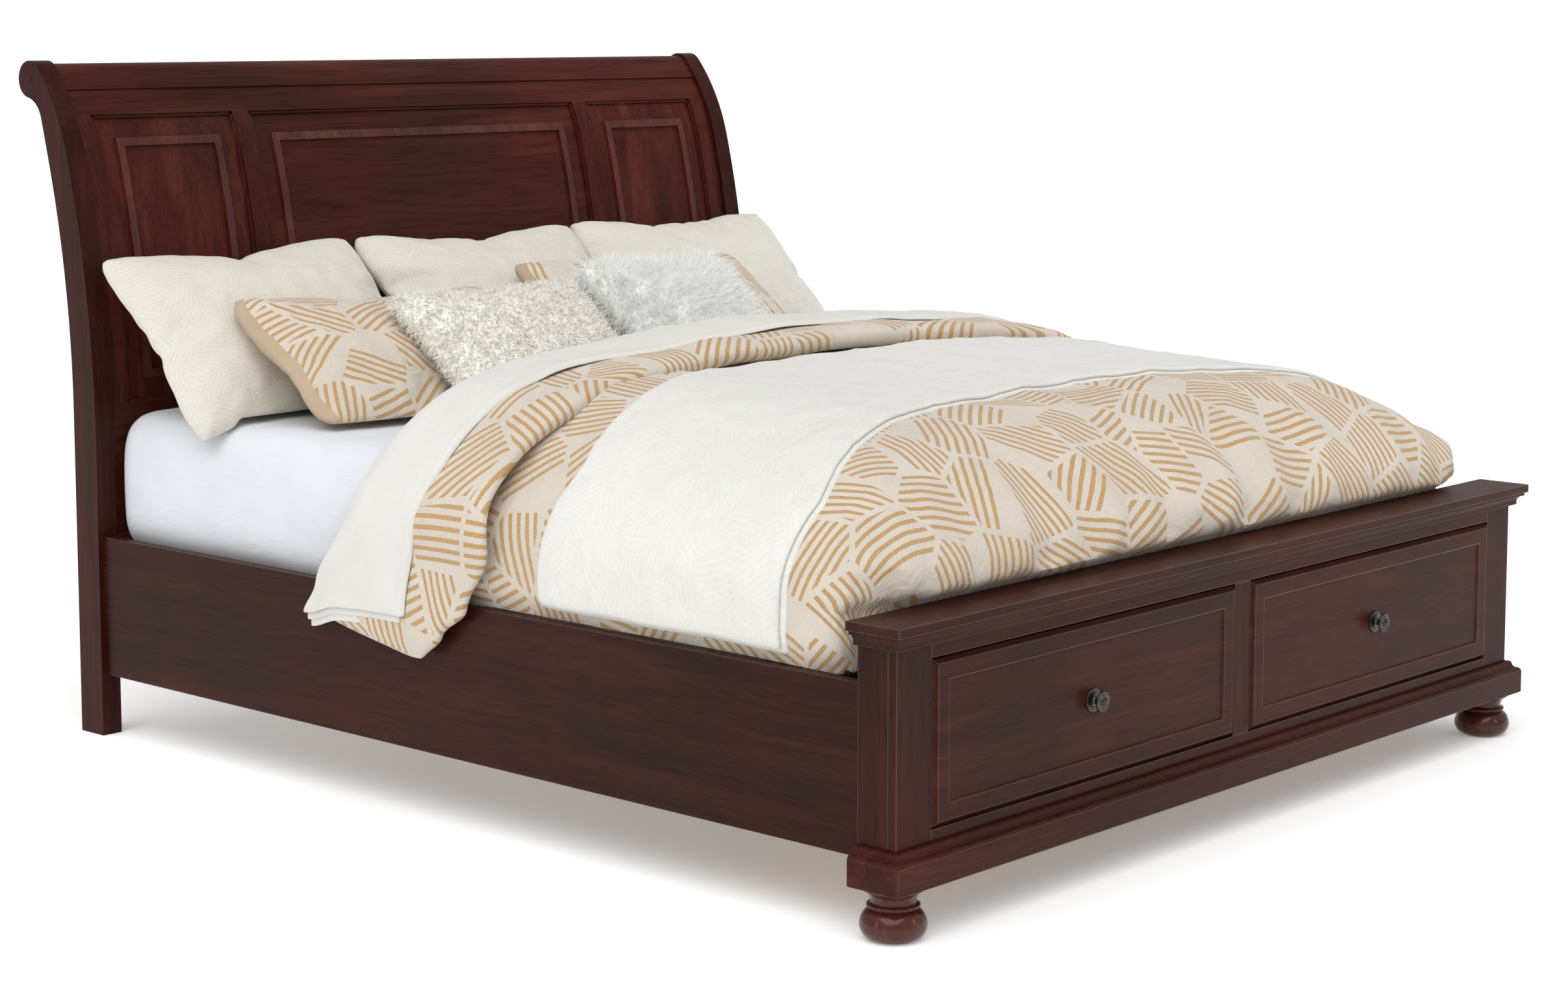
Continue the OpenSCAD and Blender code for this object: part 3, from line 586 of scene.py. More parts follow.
def over_an_edge(flat, reach, fall, depth):
    """A half section that runs level to flat, rounds down an ellipse, and hangs to depth.
    Its points are (distance out, distance down)."""
    steps = 40
    turn = [(flat + (reach - flat) * math.sin(math.pi / 2 * i / steps),
             fall * (1 - math.cos(math.pi / 2 * i / steps))) for i in range(steps + 1)]
    return resample([(0.0, 0.0)] + turn + [(reach, depth)], PATH_STEPS)


def at(points, place):
    """The point at place, from 0 to 1, along evenly spaced points."""
    x = min(max(place, 0.0), 1.0) * (len(points) - 1)
    k = min(int(x), len(points) - 2)
    return [mix(a, b, x - k) for a, b in zip(points[k], points[k + 1])]


def along_stops(stops, x):
    """A value eased between (place, value) stops."""
    for (x0, v0), (x1, v1) in zip(stops, stops[1:]):
        if x <= x1:
            return mix(v0, v1, smoothstep(x, x0, x1))
    return stops[-1][1]


def rumple(u, v, seed):
    """Soft swells and finer creases of a filled cover, about -1 to 1."""
    warp = noise_at(u * 3.1, v * 3.1, seed + 9) * 0.25
    swell = noise_at(u * 3.4 + warp, v * 3.0, seed)
    ripple = noise_at(u * 9 + warp * 4, v * 7 - warp * 3, seed + 3)
    ridge = noise_at(u * 6 + v * 5, v * 7 - u * 3 + warp * 3, seed + 5)
    crease = 1 - abs(ridge) * 2.2
    return 0.6 * swell + 0.28 * ripple + 0.22 * max(0.0, crease) ** 3


# The duvet's height and its depth below that, how far it lies from the foot at each end and
# from the middle at each side, and its corners' radius
DUVET_TOP, DUVET_DEPTH = SLEEP_Z + 0.098, 0.368
DUVET_FRONT = 0.095
DUVET_HEAD = 1.30
DUVET_SIDE = RAIL_IN - 0.004
DUVET_CORNER = 0.16
# Half sections over the duvet: across the bed, and along it from the fold to the foot
ACROSS, ACROSS_LENGTH = over_an_edge(0.55, DUVET_SIDE, 0.25, 0.362)
ALONG, ALONG_LENGTH = over_an_edge(0.88, DUVET_HEAD - DUVET_FRONT, 0.25, 0.265)


def duvet_base(s, t):
    """Surface of the duvet before it is rumpled. s runs across from -1 to 1 and t from the
    fold at 0 to the foot at 1."""
    out, down_x = at(ACROSS, abs(s))
    run, down_y = at(ALONG, t)
    down = min((down_x ** 2.3 + down_y ** 2.3) ** (1 / 2.3), DUVET_DEPTH)
    x, y = math.copysign(out, s), DUVET_HEAD - run
    over_x, over_y = out - (DUVET_SIDE - DUVET_CORNER), (DUVET_FRONT + DUVET_CORNER) - y
    if over_x > 0 and over_y > 0 and math.hypot(over_x, over_y) > DUVET_CORNER:
        shrink = DUVET_CORNER / math.hypot(over_x, over_y)
        x = math.copysign(DUVET_SIDE - DUVET_CORNER + over_x * shrink, s)
        y = DUVET_FRONT + DUVET_CORNER - over_y * shrink
    crown = 0.012 * (1 - (x / RAIL_IN) ** 2) + 0.024 * smoothstep(y, 0.45, 1.05)
    z = DUVET_TOP + crown * (1 - smoothstep(down, 0.0, 0.25)) - down
    belly = smoothstep(z, CAP_Z - 0.002, CAP_Z + 0.02) * (1 - smoothstep(z, 0.60, 0.80))
    y -= 0.04 * belly * smoothstep(0.26 - y, 0.0, 0.16)
    side = smoothstep(z, RAIL_TOP + 0.004, RAIL_TOP + 0.05) * (1 - smoothstep(z, 0.56, 0.72))
    x += math.copysign(0.014 * side * smoothstep(abs(x), 0.85, RAIL_IN - 0.01), s)
    return Vector((x, FOOT_Y + y, z))


def duvet_normal(s, t):
    """The way out of the duvet, up or to its side."""
    step = 0.004
    a = duvet_base(s + step, t) - duvet_base(s - step, t)
    b = duvet_base(s, t + step) - duvet_base(s, t - step)
    normal = a.cross(b)
    if normal.z < 0 and abs(normal.z) > 1e-9:
        normal.negate()
    normal = normal.normalized() if normal.length > 1e-12 else Vector((0, 0, 1))
    if normal.x * s < 0 and abs(s) > 0.8:
        normal.negate()
    return normal


def duvet_point(s, t):
    """The rumpled surface of the duvet."""
    point = duvet_base(s, t)
    u, v = s * ACROSS_LENGTH, t * ALONG_LENGTH
    free = 1 - smoothstep(max(abs(s) - 0.93, t - 0.93), 0.0, 0.05)
    tuck = smoothstep(abs(s), 0.70, 0.90) * (1 - smoothstep(abs(s), 0.95, 1.0))
    foot = smoothstep(t, 0.72, 0.90) * (1 - smoothstep(t, 0.95, 1.0))
    pleat = 0.012 * tuck * noise_at(v * 9, s, 4.0)
    pleat += 0.016 * foot * noise_at(u * 11 + v * 4, t * 2, 7.0)
    lift = 0.016 * rumple(u, v, 1.5) * (0.25 + 0.75 * free) + pleat
    return point + duvet_normal(s, t) * lift


# The turned-back band: its thickness in the middle and at the sides, its height, and the
# half section it follows over the bed and down outside the rails
BAND_THICK, BAND_THIN = 0.056, 0.036
BAND_CROWN = 0.034
BAND_TOP = DUVET_TOP + 0.064
OVER, OVER_LENGTH = over_an_edge(0.55, RAIL_OUT + 0.025, 0.27, 0.50)


def over_path(place):
    """(point, outward normal) in x and z on the line that the turned-back band follows."""
    out, down = at(OVER, abs(place))
    ahead = at(OVER, min(1.0, abs(place) + 0.004))
    behind = at(OVER, abs(place) - 0.004)
    dx, dz = ahead[0] - behind[0], -(ahead[1] - behind[1])
    length = math.hypot(dx, dz)
    crown = BAND_CROWN * (1 - smoothstep(out, 0.0, 0.75))
    side = math.copysign(1, place)
    return ((side * out, BAND_TOP - BAND_CROWN + crown - down),
            (-side * dz / length, dx / length))


# (place across the bed, distance from the foot) of the band's folded edge and its open one
BAND_FRONT = [(0, 1.04), (0.45, 1.025), (0.60, 0.995), (0.76, 1.0), (0.84, 0.985),
              (0.92, 1.04), (0.96, 1.11), (1, 1.165)]
BAND_BACK = [(0, 1.35), (0.60, 1.33), (0.72, 1.315), (0.80, 1.34), (0.90, 1.41), (1, 1.44)]


def band_half(place, y):
    """Half the thickness of the turned-back band at a place across it and a distance from
    the foot. Its folded edge is plumper."""
    front, back = along_stops(BAND_FRONT, abs(place)), along_stops(BAND_BACK, abs(place))
    thick = mix(BAND_THICK, BAND_THIN, smoothstep(abs(place), 0.5, 0.85))
    swell = 1 + 0.30 * rumple(place * OVER_LENGTH * 1.3, y * 1.6, 6.5)
    roll = 1 + 0.25 * (1 - smoothstep((y - front) / (back - front), 0.0, 0.35))
    return thick / 2 * swell * roll


def duvet_body():
    """Points, faces and texture places of the duvet over the foot of the bed."""
    columns, rows = 221, 121
    verts, uvs = [], []
    for i in range(rows):
        for j in range(columns):
            s, t = -1 + 2 * j / (columns - 1), i / (rows - 1)
            verts.append(duvet_point(s, t))
            uvs.append((s * ACROSS_LENGTH, t * ALONG_LENGTH))
    return verts, grid_faces(rows, columns), uvs


def duvet_band(start):
    """The same of its turned-back end, a closed puffed band. Its points count from start."""
    around, rings = 44, 241
    verts, uvs = [], []
    for i in range(rings):
        place = -1 + 2 * i / (rings - 1)
        u = place * OVER_LENGTH
        (x, z), (nx, nz) = over_path(place)
        front, back = along_stops(BAND_FRONT, abs(place)), along_stops(BAND_BACK, abs(place))
        low = smoothstep(abs(place), 0.72, 1.0)
        end = math.sqrt(max(0.0, 1 - smoothstep(abs(place), 0.97, 1.0) ** 2))
        for j in range(around):
            angle = 2 * math.pi * j / around
            c, n = math.cos(angle), math.sin(angle)
            half = (back - front) / 2
            v = (front + back) / 2 + half * math.copysign(abs(c) ** 0.75, -c)
            share = (v - front) / (back - front)
            h = band_half(place, v) * math.copysign(abs(n) ** 0.8, n) * (0.25 + 0.75 * end)
            sway = 0.010 * noise_at(u * 5, 2.0, v)
            sway += 0.008 * low * noise_at(v * 9, u * 2, 8.0)
            y = v + 0.012 * noise_at(u * 4, 3.0, 1.0)
            drop = low * (0.045 * share - 0.01)
            verts.append(Vector((x + nx * (h + abs(sway)), FOOT_Y + y,
                                 z + nz * (h + sway) + drop)))
            uvs.append((u + 0.37, 0.5 + (v if n >= 0 else 2 * front - v)))
    faces = grid_faces(rings, around, wrap_columns=True, start=start)
    faces.append([start + j for j in range(around)])
    faces.append([start + (rings - 1) * around + j for j in reversed(range(around))])
    return verts, faces, uvs


def make_duvet():
    """The duvet: the part that lies over the foot of the bed, and its turned-back end."""
    body = duvet_body()
    band = duvet_band(len(body[0]))
    duvet = add_mesh("duvet_cover", body[0] + band[0], body[1] + band[1],
                     uvs=body[2] + band[2], crease_angle=80)
    dress(duvet, "duvet", "printed_linen", LINEN)


# (place across the bed, distance from the foot) of the sheet's hem and its head side, and
# (distance out, height) of the line that it comes down to on the mattress
HEM = [(0, 1.115), (0.30, 1.12), (0.50, 1.15), (0.78, 1.14), (0.88, 1.165), (1, 1.195)]
SHEET_BACK = [(0, 1.62), (0.50, 1.58), (0.64, 1.47), (0.72, 1.39), (0.77, 1.375),
              (0.81, 1.385), (0.88, 1.43), (0.95, 1.49), (1, 1.53)]
SHEET_INNER, _ = resample([(0, 0.708), (0.80, 0.706), (0.90, 0.695), (0.955, 0.665),
                           (0.985, 0.60), (1.005, 0.54), (1.024, 0.46), (1.034, 0.365)],
                          PATH_STEPS)
SHEET_END = 0.945


def sheet_point(place, v, lift):
    """A point of the flat sheet: v is 0 at its hem on the duvet and 1 at its edge towards
    the pillows; lift raises it off the band."""
    hem, back = along_stops(HEM, abs(place)), along_stops(SHEET_BACK, abs(place))
    y = mix(hem, back, v)
    on_band = place * (SHEET_END + 0.015 * v * v)
    (x, z), (nx, nz) = over_path(on_band)
    height = band_half(on_band, y) + 0.004 + 0.003 * smoothstep(abs(place), 0.6, 0.8) + lift
    outer = Vector((x + nx * height, z + nz * height))
    inner = Vector(at(SHEET_INNER, abs(place)))
    inner.x = math.copysign(inner.x + lift, place)
    band_end = along_stops(BAND_BACK, abs(on_band))
    leave = smoothstep(y, band_end - 0.03, band_end + mix(0.17, 0.11, abs(place)))
    flat = outer.lerp(inner, leave)
    sag = 0.005 * noise_at(place * 5, v * 2.5, 11.0)
    side = smoothstep(abs(place), 0.6, 0.8)
    return Vector((flat.x + math.copysign(abs(sag), place) * side, FOOT_Y + y,
                   flat.y + sag * (1 - side)))


def sheet_grid(places, ends, lift, shift=0.0):
    """Points, texture places and faces of a strip of the sheet. places run across the bed,
    and past 1 they hang straight down. ends are where its two long edges lie, in
    sheet_point's v. lift(v) raises it off the band, and shift moves its texture."""
    rows = 41
    verts, uvs = [], []
    for i in range(rows):
        v = i / (rows - 1)
        for place in places:
            point = sheet_point(max(-1, min(1, place)), mix(*ends, v), lift(v))
            point.z -= max(0.0, abs(place) - 1) * OVER_LENGTH
            verts.append(point)
            uvs.append((place * OVER_LENGTH, v * 0.38 + shift))
    return verts, uvs, grid_faces(rows, len(places))


def sheet_piece(name, strips):
    """One piece of the flat sheet, made of strips."""
    verts, uvs, faces = [], [], []
    for more_verts, more_uvs, more_faces in strips:
        faces += [[len(verts) + k for k in face] for face in more_faces]
        verts, uvs = verts + more_verts, uvs + more_uvs
    sheet = add_mesh(name, verts, faces, uvs=uvs, crease_angle=80)
    add_modifier(sheet, "SOLIDIFY", thickness=0.0028, offset=-1)
    dress(sheet, "flat_sheet", "ivory_cotton", IVORY)


def hem_lift(v):
    """The doubled hem stands proud of the sheet, and its edge turns down to the band."""
    return 0.0025 * (1 - smoothstep(v, 0.045, 0.06)) - 0.0085 * (1 - smoothstep(v, 0.0, 0.02))


def make_sheet():
    """The flat sheet, turned down over the duvet, with its doubled hem, and the layers of
    it that show below at each side."""
    across, fold_across, fold_start = 261, 41, 0.86
    places = [-1 + 2 * j / (across - 1) for j in range(across)]
    sheet_piece("turned_down_sheet", [sheet_grid(places, (0, 1), hem_lift)])
    for k in (1, 2):
        depth, longer, inset = 0.0035 * k, 0.010 * k, 0.012 * k
        ends = (inset / 0.3, 1 - inset / 0.5)
        strips = []
        for side in (-1, 1):
            places = [side * mix(fold_start, 1 + longer, j / (fold_across - 1))
                      for j in range(fold_across)]
            strips.append(sheet_grid(places, ends, lambda v: -depth, shift=-60 * depth))
        sheet_piece(f"sheet_fold_{k}", strips)


def throw_edges(place):
    """Where the throw's two long edges lie, at the foot side and the head side."""
    out = at(ACROSS, abs(place))[0]
    middle = 0.772 - 0.195 * min(1.0, (out / 0.90) ** 2)
    return middle - 0.315, middle + 0.262 + 0.05 * smoothstep(abs(place), 0.5, 0.9)


def run_of(y):
    """The duvet's t at a distance from the foot of the bed."""
    low, high = 0.0, 1.0
    for _ in range(24):
        middle = (low + high) / 2
        if DUVET_HEAD - at(ALONG, middle)[0] > y:
            low = middle
        else:
            high = middle
    return low


def make_throw():
    """A plush throw, folded in two, laid across the duvet."""
    columns, rows, end = 201, 41, 0.985
    for name, lift, trim in (("throw_lower_layer", 0.004, 0.0),
                             ("throw_upper_layer", 0.013, 0.010)):
        verts, uvs = [], []
        for i in range(rows):
            for j in range(columns):
                place = (-1 + 2 * j / (columns - 1)) * (end - trim)
                front, back = throw_edges(place)
                v = i / (rows - 1)
                y = mix(front + trim, back - trim, v)
                t = run_of(y)
                u = place * ACROSS_LENGTH
                soft = 0.00175 * noise_at(u * 7, y * 6, 21.0)
                edge = 0.0015 * (1 - smoothstep(min(v, 1 - v), 0.0, 0.03))
                verts.append(duvet_point(place, t)
                             + duvet_normal(place, t) * (lift + soft - edge))
                uvs.append((u, y))
        layer = add_mesh(name, verts, grid_faces(rows, columns), uvs=uvs, crease_angle=80)
        add_modifier(layer, "SOLIDIFY", thickness=0.009, offset=1)
        dress(layer, "throw", "ivory_plush", THROW)


def make_mattress():
    """The mattress in its fitted sheet: a rounded block with bulging sides, pressed down a
    little under the duvet."""
    low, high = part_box("mattress")
    radius, pitch = Vector((0.055, 0.035, 0.085)), 0.03
    counts = [max(2, round((high[k] - low[k]) / pitch)) for k in range(3)]
    mesh = bmesh.new()
    seen = {}
    for axis in range(3):
        a, b = (axis + 1) % 3, (axis + 2) % 3
        for end in (0, 1):
            for i in range(counts[a]):
                for j in range(counts[b]):
                    quad = []
                    for da, db in ((0, 0), (1, 0), (1, 1), (0, 1)):
                        key = [0, 0, 0]
                        key[axis], key[a], key[b] = end * counts[axis], i + da, j + db
                        key = tuple(key)
                        if key not in seen:
                            p = Vector(mix(low[k], high[k], key[k] / counts[k]) for k in range(3))
                            seen[key] = mesh.verts.new(p)
                        quad.append(seen[key])
                    mesh.faces.new(quad if end else quad[::-1])
    for vert in mesh.verts:
        p = vert.co
        core = Vector(min(max(p[k], low[k] + radius[k]), high[k] - radius[k]) for k in range(3))
        way = Vector((p[k] - core[k]) / radius[k] for k in range(3))
        if way.length > 1:
            way.normalize()
        p = core + Vector(way[k] * radius[k] for k in range(3))
        crease = noise_at(p.y * 5, p.z * 3, 31) + noise.noise(p * 11) * 0.5
        p = p + (p - core) * 0.08 * crease
        bulge = 1 - ((p.z - low.z) / (high.z - low.z) * 2 - 0.9) ** 2
        p.x += math.copysign(0.013 * max(0.0, bulge), p.x) * smoothstep(abs(p.x), 0.85, 0.96)
        pressed = smoothstep(FOOT_Y + 1.45 - p.y, 0.0, 0.15)
        p.z -= 0.035 * pressed * smoothstep(abs(p.x), 0.55, 0.90) * smoothstep(p.z, 0.5, 0.69)
        vert.co = p
    verts, faces, _ = unpacked(mesh)
    uvs = [(p.y, p.x + p.z) for p in verts]
    mattress = add_mesh("mattress_cover", verts, faces, uvs=uvs, crease_angle=80)
    dress(mattress, "mattress", "white_sheet", WHITE)


make_mattress()
make_duvet()
make_sheet()
make_throw()


# Pillows -----

PILLOW_PITCH = 0.0135
PRESSURE, PRESSURE_FRAMES = 5.0, 22
# From 0 to 1, how firmly a pillow's outline is kept from drawing in as it fills
HOLD = 0.68


def inflated(name, size, seed):
    """Two cloths sewn together at their edges and blown up by a cloth simulation. Returns
    its points, faces, the cloth that each face is of, and the points' places on the flat
    cloth."""
    width, height, depth = size
    across, up = round(width / PILLOW_PITCH), round(height / PILLOW_PITCH)
    verts, index = [], {}

    def corner(side, i, j):
        """The two cloths share the points of their rim."""
        return (0 if i in (0, up) or j in (0, across) else side, i, j)

    for side in (-1, 1):
        for i in range(up + 1):
            for j in range(across + 1):
                if corner(side, i, j) in index:
                    continue
                u, v = j / across * 2 - 1, i / up * 2 - 1
                dome = (1 - u ** 4) * (1 - v ** 4)
                wave = noise_at(u * 2.3, v * 2.3, seed + side * 3)
                index[corner(side, i, j)] = len(verts)
                verts.append((width / 2 * u, side * (0.018 * dome + 0.010 * dome * wave),
                              height / 2 * v))
    faces, marks = [], []
    for side in (-1, 1):
        for i in range(up):
            for j in range(across):
                quad = [index[corner(side, i + di, j + dj)]
                        for di, dj in ((0, 0), (0, 1), (1, 1), (1, 0))]
                faces.append(quad if side < 0 else quad[::-1])
                border = min(j, across - 1 - j) < 2
                marks.append(1 if side > 0 or border else 0)
    mesh = bpy.data.meshes.new(name + "_flat")
    mesh.from_pydata(verts, [], faces)
    rest = bpy.data.objects.new(name + "_flat", mesh)
    scene = bpy.context.scene
    scene.collection.objects.link(rest)
    cloth = rest.modifiers.new("cloth", "CLOTH")
    settings = cloth.settings
    settings.quality = 4
    settings.mass = 0.25
    settings.tension_stiffness = settings.compression_stiffness = 12
    settings.shear_stiffness = 4
    settings.bending_stiffness = 0.35
    settings.use_pressure = True
    settings.uniform_pressure_force = PRESSURE
    settings.effector_weights.gravity = 0
    settings.shrink_min = -0.02
    cloth.collision_settings.use_collision = False
    cloth.point_cache.frame_start, cloth.point_cache.frame_end = 1, PRESSURE_FRAMES
    for step in range(1, PRESSURE_FRAMES + 1):
        scene.frame_set(step)
    shaped = rest.evaluated_get(bpy.context.evaluated_depsgraph_get()).to_mesh()
    points = [v.co.copy() for v in shaped.vertices]
    rest.to_mesh_clear()
    bpy.data.objects.remove(rest)
    scene.frame_set(1)
    low = [min(p[k] for p in points) for k in range(3)]
    high = [max(p[k] for p in points) for k in range(3)]
    target = (width, depth, height)
    for p, start in zip(points, verts):
        for k in range(3):
            p[k] = (p[k] - (low[k] + high[k]) / 2) * target[k] / (high[k] - low[k])
        seat = smoothstep(-start[2] / height, 0.15, 0.5)
        u, v = start[0] / width * 2, start[2] / height * 2
        trim = 1 - 0.065 * (u * v) ** 4
        p[0] = mix(p[0], start[0], HOLD) * trim
        p[2] = mix(p[2], start[2], mix(HOLD, 1.0, seat)) * trim
        p[1] = math.copysign(abs(p[1] / depth * 2) ** 0.66, p[1]) * depth / 2
    flat = [(v[0] + seed * 0.31, v[2] + seed * 0.17) for v in verts]
    return points, faces, marks, flat


def make_pillow(name, node, slot, place, size, lean, tilt, seed, cloths, droop=None):
    """A stuffed pillow that leans back by lean degrees and tilts by tilt. droop is
    (x, amount): it pulls down what lies beyond x at the foot of the pillow."""
    points, faces, marks, flat = inflated(name, size, seed)
    turned = (Matrix.Rotation(-math.radians(lean), 3, "X")
              @ Matrix.Rotation(math.radians(tilt), 3, "Y"))
    verts = []
    for p in points:
        u, v = p.x / size[0] * 2, p.z / size[1] * 2
        rim = max(abs(u), abs(v))
        wave = noise_at(u * 1.4 + seed, v * 1.4, 5.0)
        fine = noise_at(p.x * 24 + seed, p.z * 17, 9.0)
        reach = math.hypot(rim, 0.2)
        spoke = noise_at(math.atan2(v, u) * 6.5 + seed, reach * 1.2, 13.0)
        slump = 0.10 * (1 - v) * (1 - u * u)
        p.y *= 1 + slump + 0.10 * wave
        p.y += math.copysign(0.004, p.y) * fine * (1 - rim ** 6)
        p.y += math.copysign(0.010, p.y) * spoke * smoothstep(rim, 0.45, 0.85) * (1 - rim ** 8)
        p.y += 0.012 * wave
        spot = turned @ p + Vector(place)
        if droop:
            sag = smoothstep(math.copysign(1, droop[0]) * (spot.x - droop[0]), 0.0, 0.18)
            spot.z -= droop[1] * sag * (1 - smoothstep(v, -1.0, 0.1))
        # What would sink into the mattress flattens on it instead
        floor = SLEEP_Z + 0.004
        if abs(spot.x) < 0.93 and spot.z < floor + 0.03:
            spot.z = floor + 0.03 * math.exp((spot.z - floor - 0.03) / 0.03)
        verts.append(spot)
    pillow = add_mesh(name, verts, faces, uvs=flat, crease_angle=75)
    dress(pillow, node, slot, *cloths, levels=1)
    for polygon, mark in zip(pillow.data.polygons, marks):
        polygon.material_index = min(mark, len(cloths) - 1)
    return pillow


def scattered(chance, spread):
    return Vector([chance.gauss(0, 1) for _ in range(3)]) * spread


def pile(name, base, count, length, width, blades, bend, lie, seed, material):
    """Tufts that stand on a pillow: curved tapering blades, rooted evenly over its cloth.
    lie is the way the pile leans."""
    mesh = base.data
    chance = random.Random(seed)
    polygons = list(mesh.polygons)
    areas, total = [], 0.0
    for polygon in polygons:
        total += polygon.area
        areas.append(total)
    verts, faces = [], []
    steps = 3
    for _ in range(count):
        polygon = polygons[bisect.bisect(areas, chance.uniform(0, total)) % len(polygons)]
        corners = [mesh.vertices[k].co for k in polygon.vertices]
        a, b = chance.random(), chance.random()
        root = corners[0].lerp(corners[1], a).lerp(corners[3].lerp(corners[2], a), b)
        for _ in range(blades):
            way = (polygon.normal + scattered(chance, bend) + Vector(lie)).normalized()
            curl = scattered(chance, bend) * 0.9
            reach = length * chance.uniform(0.6, 1.15)
            side = way.cross(scattered(chance, 1)).normalized()
            start = len(verts)
            for k in range(steps):
                t = k / steps
                centre = root + way * reach * t + curl * reach * t * t * 0.6
                centre.z -= reach * 0.25 * t * t
                half = width / 2 * (1 - t) ** 0.6
                verts += [centre - side * half, centre + side * half]
            tip = root + way * reach + curl * reach * 0.6
            tip.z -= reach * 0.25
            verts.append(tip)
            for k in range(start, start + 2 * steps - 2, 2):
                faces.append([k, k + 1, k + 3, k + 2])
            end = start + 2 * steps
            faces.append([end - 2, end - 1, end])
    tufts = add_mesh(name, verts, faces, crease_angle=180)
    paint(tufts, material)


def yarn(name, light, dark, sheen):
    """Soft pale fibre, lighter at random."""
    nodes = Nodes(name)
    place = nodes.on_piece()
    mottle = nodes.noise(place, 90.0, 3.0)
    colour = nodes.ramp(mottle, (0.3, dark), (0.65, light))
    nodes.shade(Base_Color=colour, Roughness=0.8, Sheen_Weight=sheen, Specular_IOR_Level=0.3,
                Normal=nodes.bump(mottle, 0.0008, 0.3))
    return nodes.material


BOUCLE = yarn("ivory_yarn", (0.91, 0.89, 0.84), (0.79, 0.76, 0.69), 0.3)
FUR = yarn("white_fur", (0.96, 0.96, 0.945), (0.90, 0.905, 0.88), 0.5)
TAN = plain_cloth("tan_cotton", (0.50, 0.385, 0.27), (0.44, 0.335, 0.23))


def make_pillows():
    """Three pillows against the headboard, two patterned ones before them, and a boucle and
    a fur cushion in front."""
    def lies(x, back, up):
        return (x, HEAD_Y - back, SLEEP_Z + up)

    for name, x, tilt, seed, droop in (("left_back_pillow", -0.685, -1.5, 1.0, (-0.90, 0.050)),
                                       ("middle_back_pillow", 0.0, 0.5, 2.0, None),
                                       ("right_back_pillow", 0.685, 1.0, 3.0, (0.93, 0.02))):
        make_pillow(name, "back_pillows", "cream_quilt", lies(x, 0.187, 0.172),
                    (0.71, 0.49, 0.175), 45, tilt, seed, [QUILT], droop=droop)
    for name, x, up, tilt, seed in (("left_patterned_pillow", -0.52, 0.122, 1.5, 4.0),
                                    ("right_patterned_pillow", 0.285, 0.152, 2.0, 5.0)):
        make_pillow(name, "patterned_pillows", "printed_linen", lies(x, 0.442, up),
                    (0.74, 0.44, 0.145), 56, tilt, seed, [LINEN, TAN])
    boucle = make_pillow("boucle_cushion", "boucle_pillow", "ivory_boucle",
                         lies(-0.343, 0.625, 0.130), (0.54, 0.43, 0.14), 54, 1.0, 6.0, [BOUCLE])
    pile("boucle_loops", boucle, 20000, 0.0125, 0.0024, blades=2, bend=0.55, lie=(0, 0, 0),
         seed=11, material=BOUCLE)
    fur = make_pillow("fur_cushion", "fur_pillow", "white_fur", lies(0.165, 0.625, 0.136),
                      (0.43, 0.44, 0.15), 51, 3.0, 7.0, [FUR])
    pile("fur_strands", fur, 12000, 0.044, 0.0012, blades=3, bend=0.30, lie=(0.1, -0.1, -0.15),
         seed=12, material=FUR)


make_pillows()


# Stage -----

FLOOR_HALF = 120.0
FLOOR_GLOW = 0.20
WORLD_LIGHT, WORLD_SEEN = 0.53, 1.1
SUN_STRENGTH, SUN_SPREAD = 1.98, 65
STRIP_WATTS = 9.0


def add_to_scene(name, data, place=(0, 0, 0)):
    thing = bpy.data.objects.new(name, data)
    thing.location = place
    bpy.context.scene.collection.objects.link(thing)
    return thing


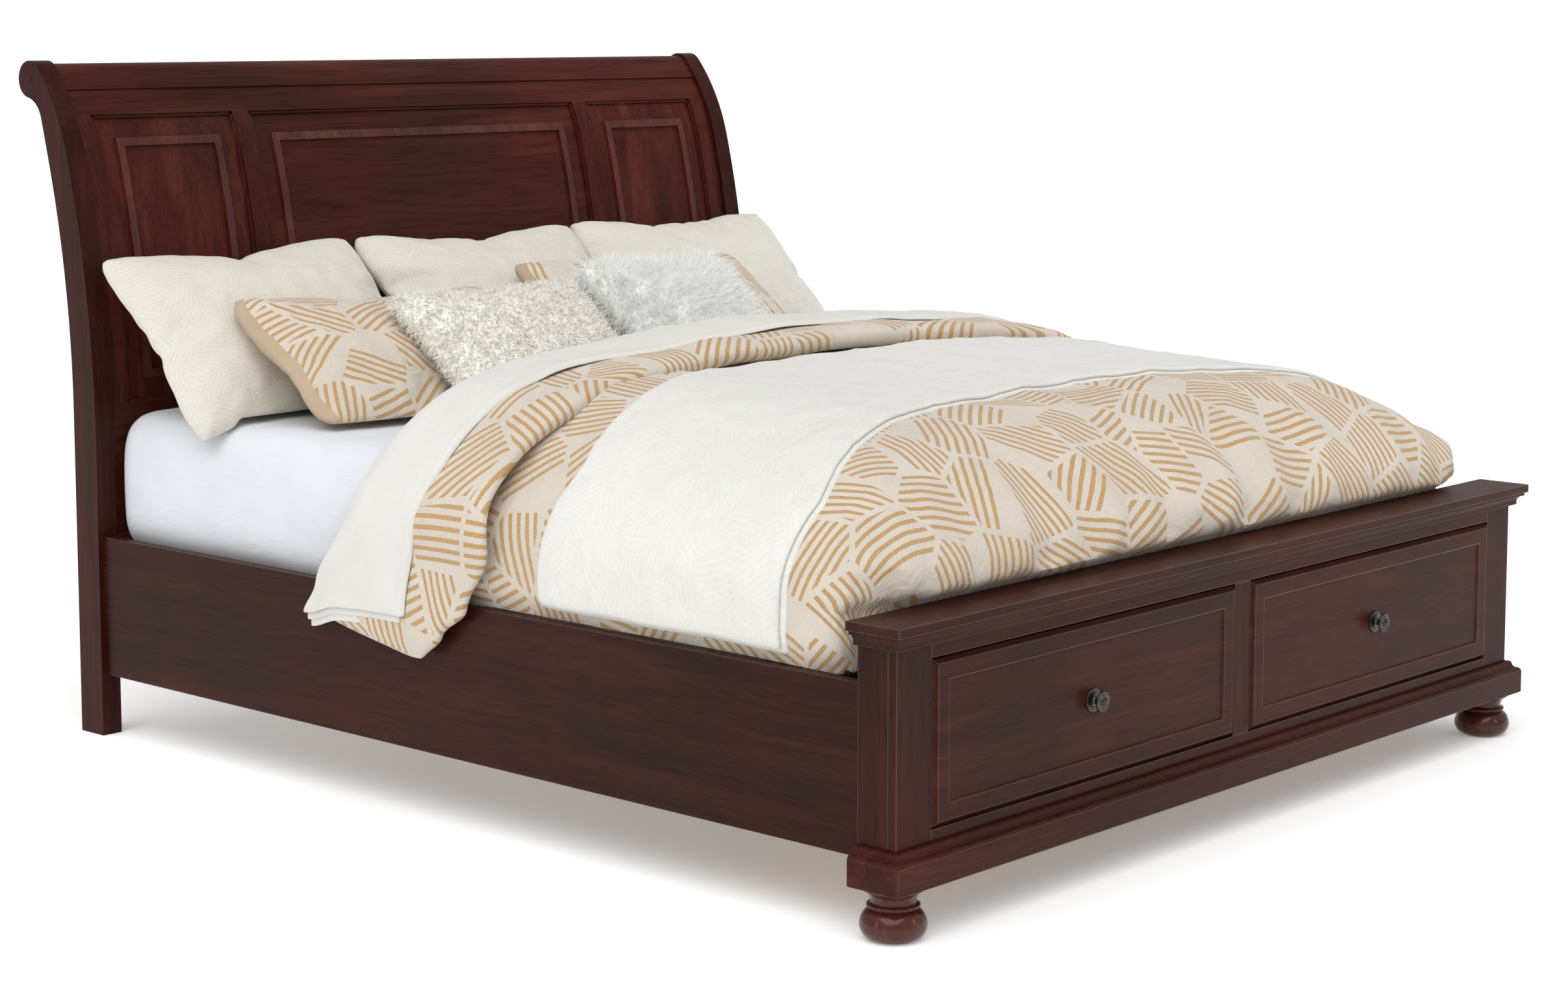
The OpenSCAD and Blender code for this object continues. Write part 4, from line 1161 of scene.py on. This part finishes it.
def make_stage():
    """A white floor that runs out of sight."""
    edge = FLOOR_HALF
    mesh = bpy.data.meshes.new("floor")
    mesh.from_pydata([(-edge, -edge, 0), (edge, -edge, 0), (edge, edge, 0), (-edge, edge, 0)],
                     [], [(0, 1, 2, 3)])
    floor = add_to_scene("floor", mesh)
    nodes = Nodes("floor_white")
    nodes.shade(Base_Color=(0.97, 0.97, 0.97, 1.0), Roughness=0.9, Specular_IOR_Level=0.2,
                Emission_Color=(1, 1, 1, 1), Emission_Strength=FLOOR_GLOW)
    paint(floor, nodes.material)


def make_lights():
    """A white world, which the camera sees brighter than it lights, a broad sun from above,
    and two faint strips that draw highlights on the wood."""
    world = bpy.data.worlds.new("studio")
    bpy.context.scene.world = world
    world.use_nodes = True
    tree = world.node_tree
    background = tree.nodes["Background"]
    background.inputs["Color"].default_value = (1, 1, 1, 1)
    seen = tree.nodes.new("ShaderNodeLightPath").outputs["Is Camera Ray"]
    strength = tree.nodes.new("ShaderNodeMapRange")
    strength.inputs["To Min"].default_value = WORLD_LIGHT
    strength.inputs["To Max"].default_value = WORLD_SEEN
    tree.links.new(seen, strength.inputs["Value"])
    tree.links.new(strength.outputs[0], background.inputs["Strength"])
    sun = bpy.data.lights.new("overhead", "SUN")
    sun.energy, sun.angle = SUN_STRENGTH, math.radians(SUN_SPREAD)
    lamp = add_to_scene("overhead", sun)
    lamp.rotation_euler = (math.radians(14), math.radians(-26), 0)
    for name, place, aim in (("left_strip", (-5.2, 0.4, 1.5), (0, 0.9, 1.0)),
                             ("front_strip", (1.5, -5.2, 2.2), (0, -1.2, 0.3))):
        data = bpy.data.lights.new(name, "AREA")
        data.shape, data.size, data.size_y = "RECTANGLE", 0.3, 2.2
        data.energy = STRIP_WATTS
        way = Vector(aim) - Vector(place)
        add_to_scene(name, data, place).rotation_euler = way.to_track_quat("-Z", "Y").to_euler()


def make_camera():
    """The camera stands to the left of the foot of the bed, a little above the headboard."""
    data = bpy.data.cameras.new("camera")
    data.lens, data.sensor_width = 69.3, 36.0
    data.shift_y = -0.080
    data.clip_end = 400.0
    camera = add_to_scene("camera", data, (-4.784, FOOT_Y - 3.146, 1.536))
    camera.rotation_euler = (math.radians(90 - 6.53), 0, math.radians(-47.9))
    bpy.context.scene.camera = camera


make_stage()
make_lights()
make_camera()
bpy.context.scene.view_settings.view_transform = "Standard"
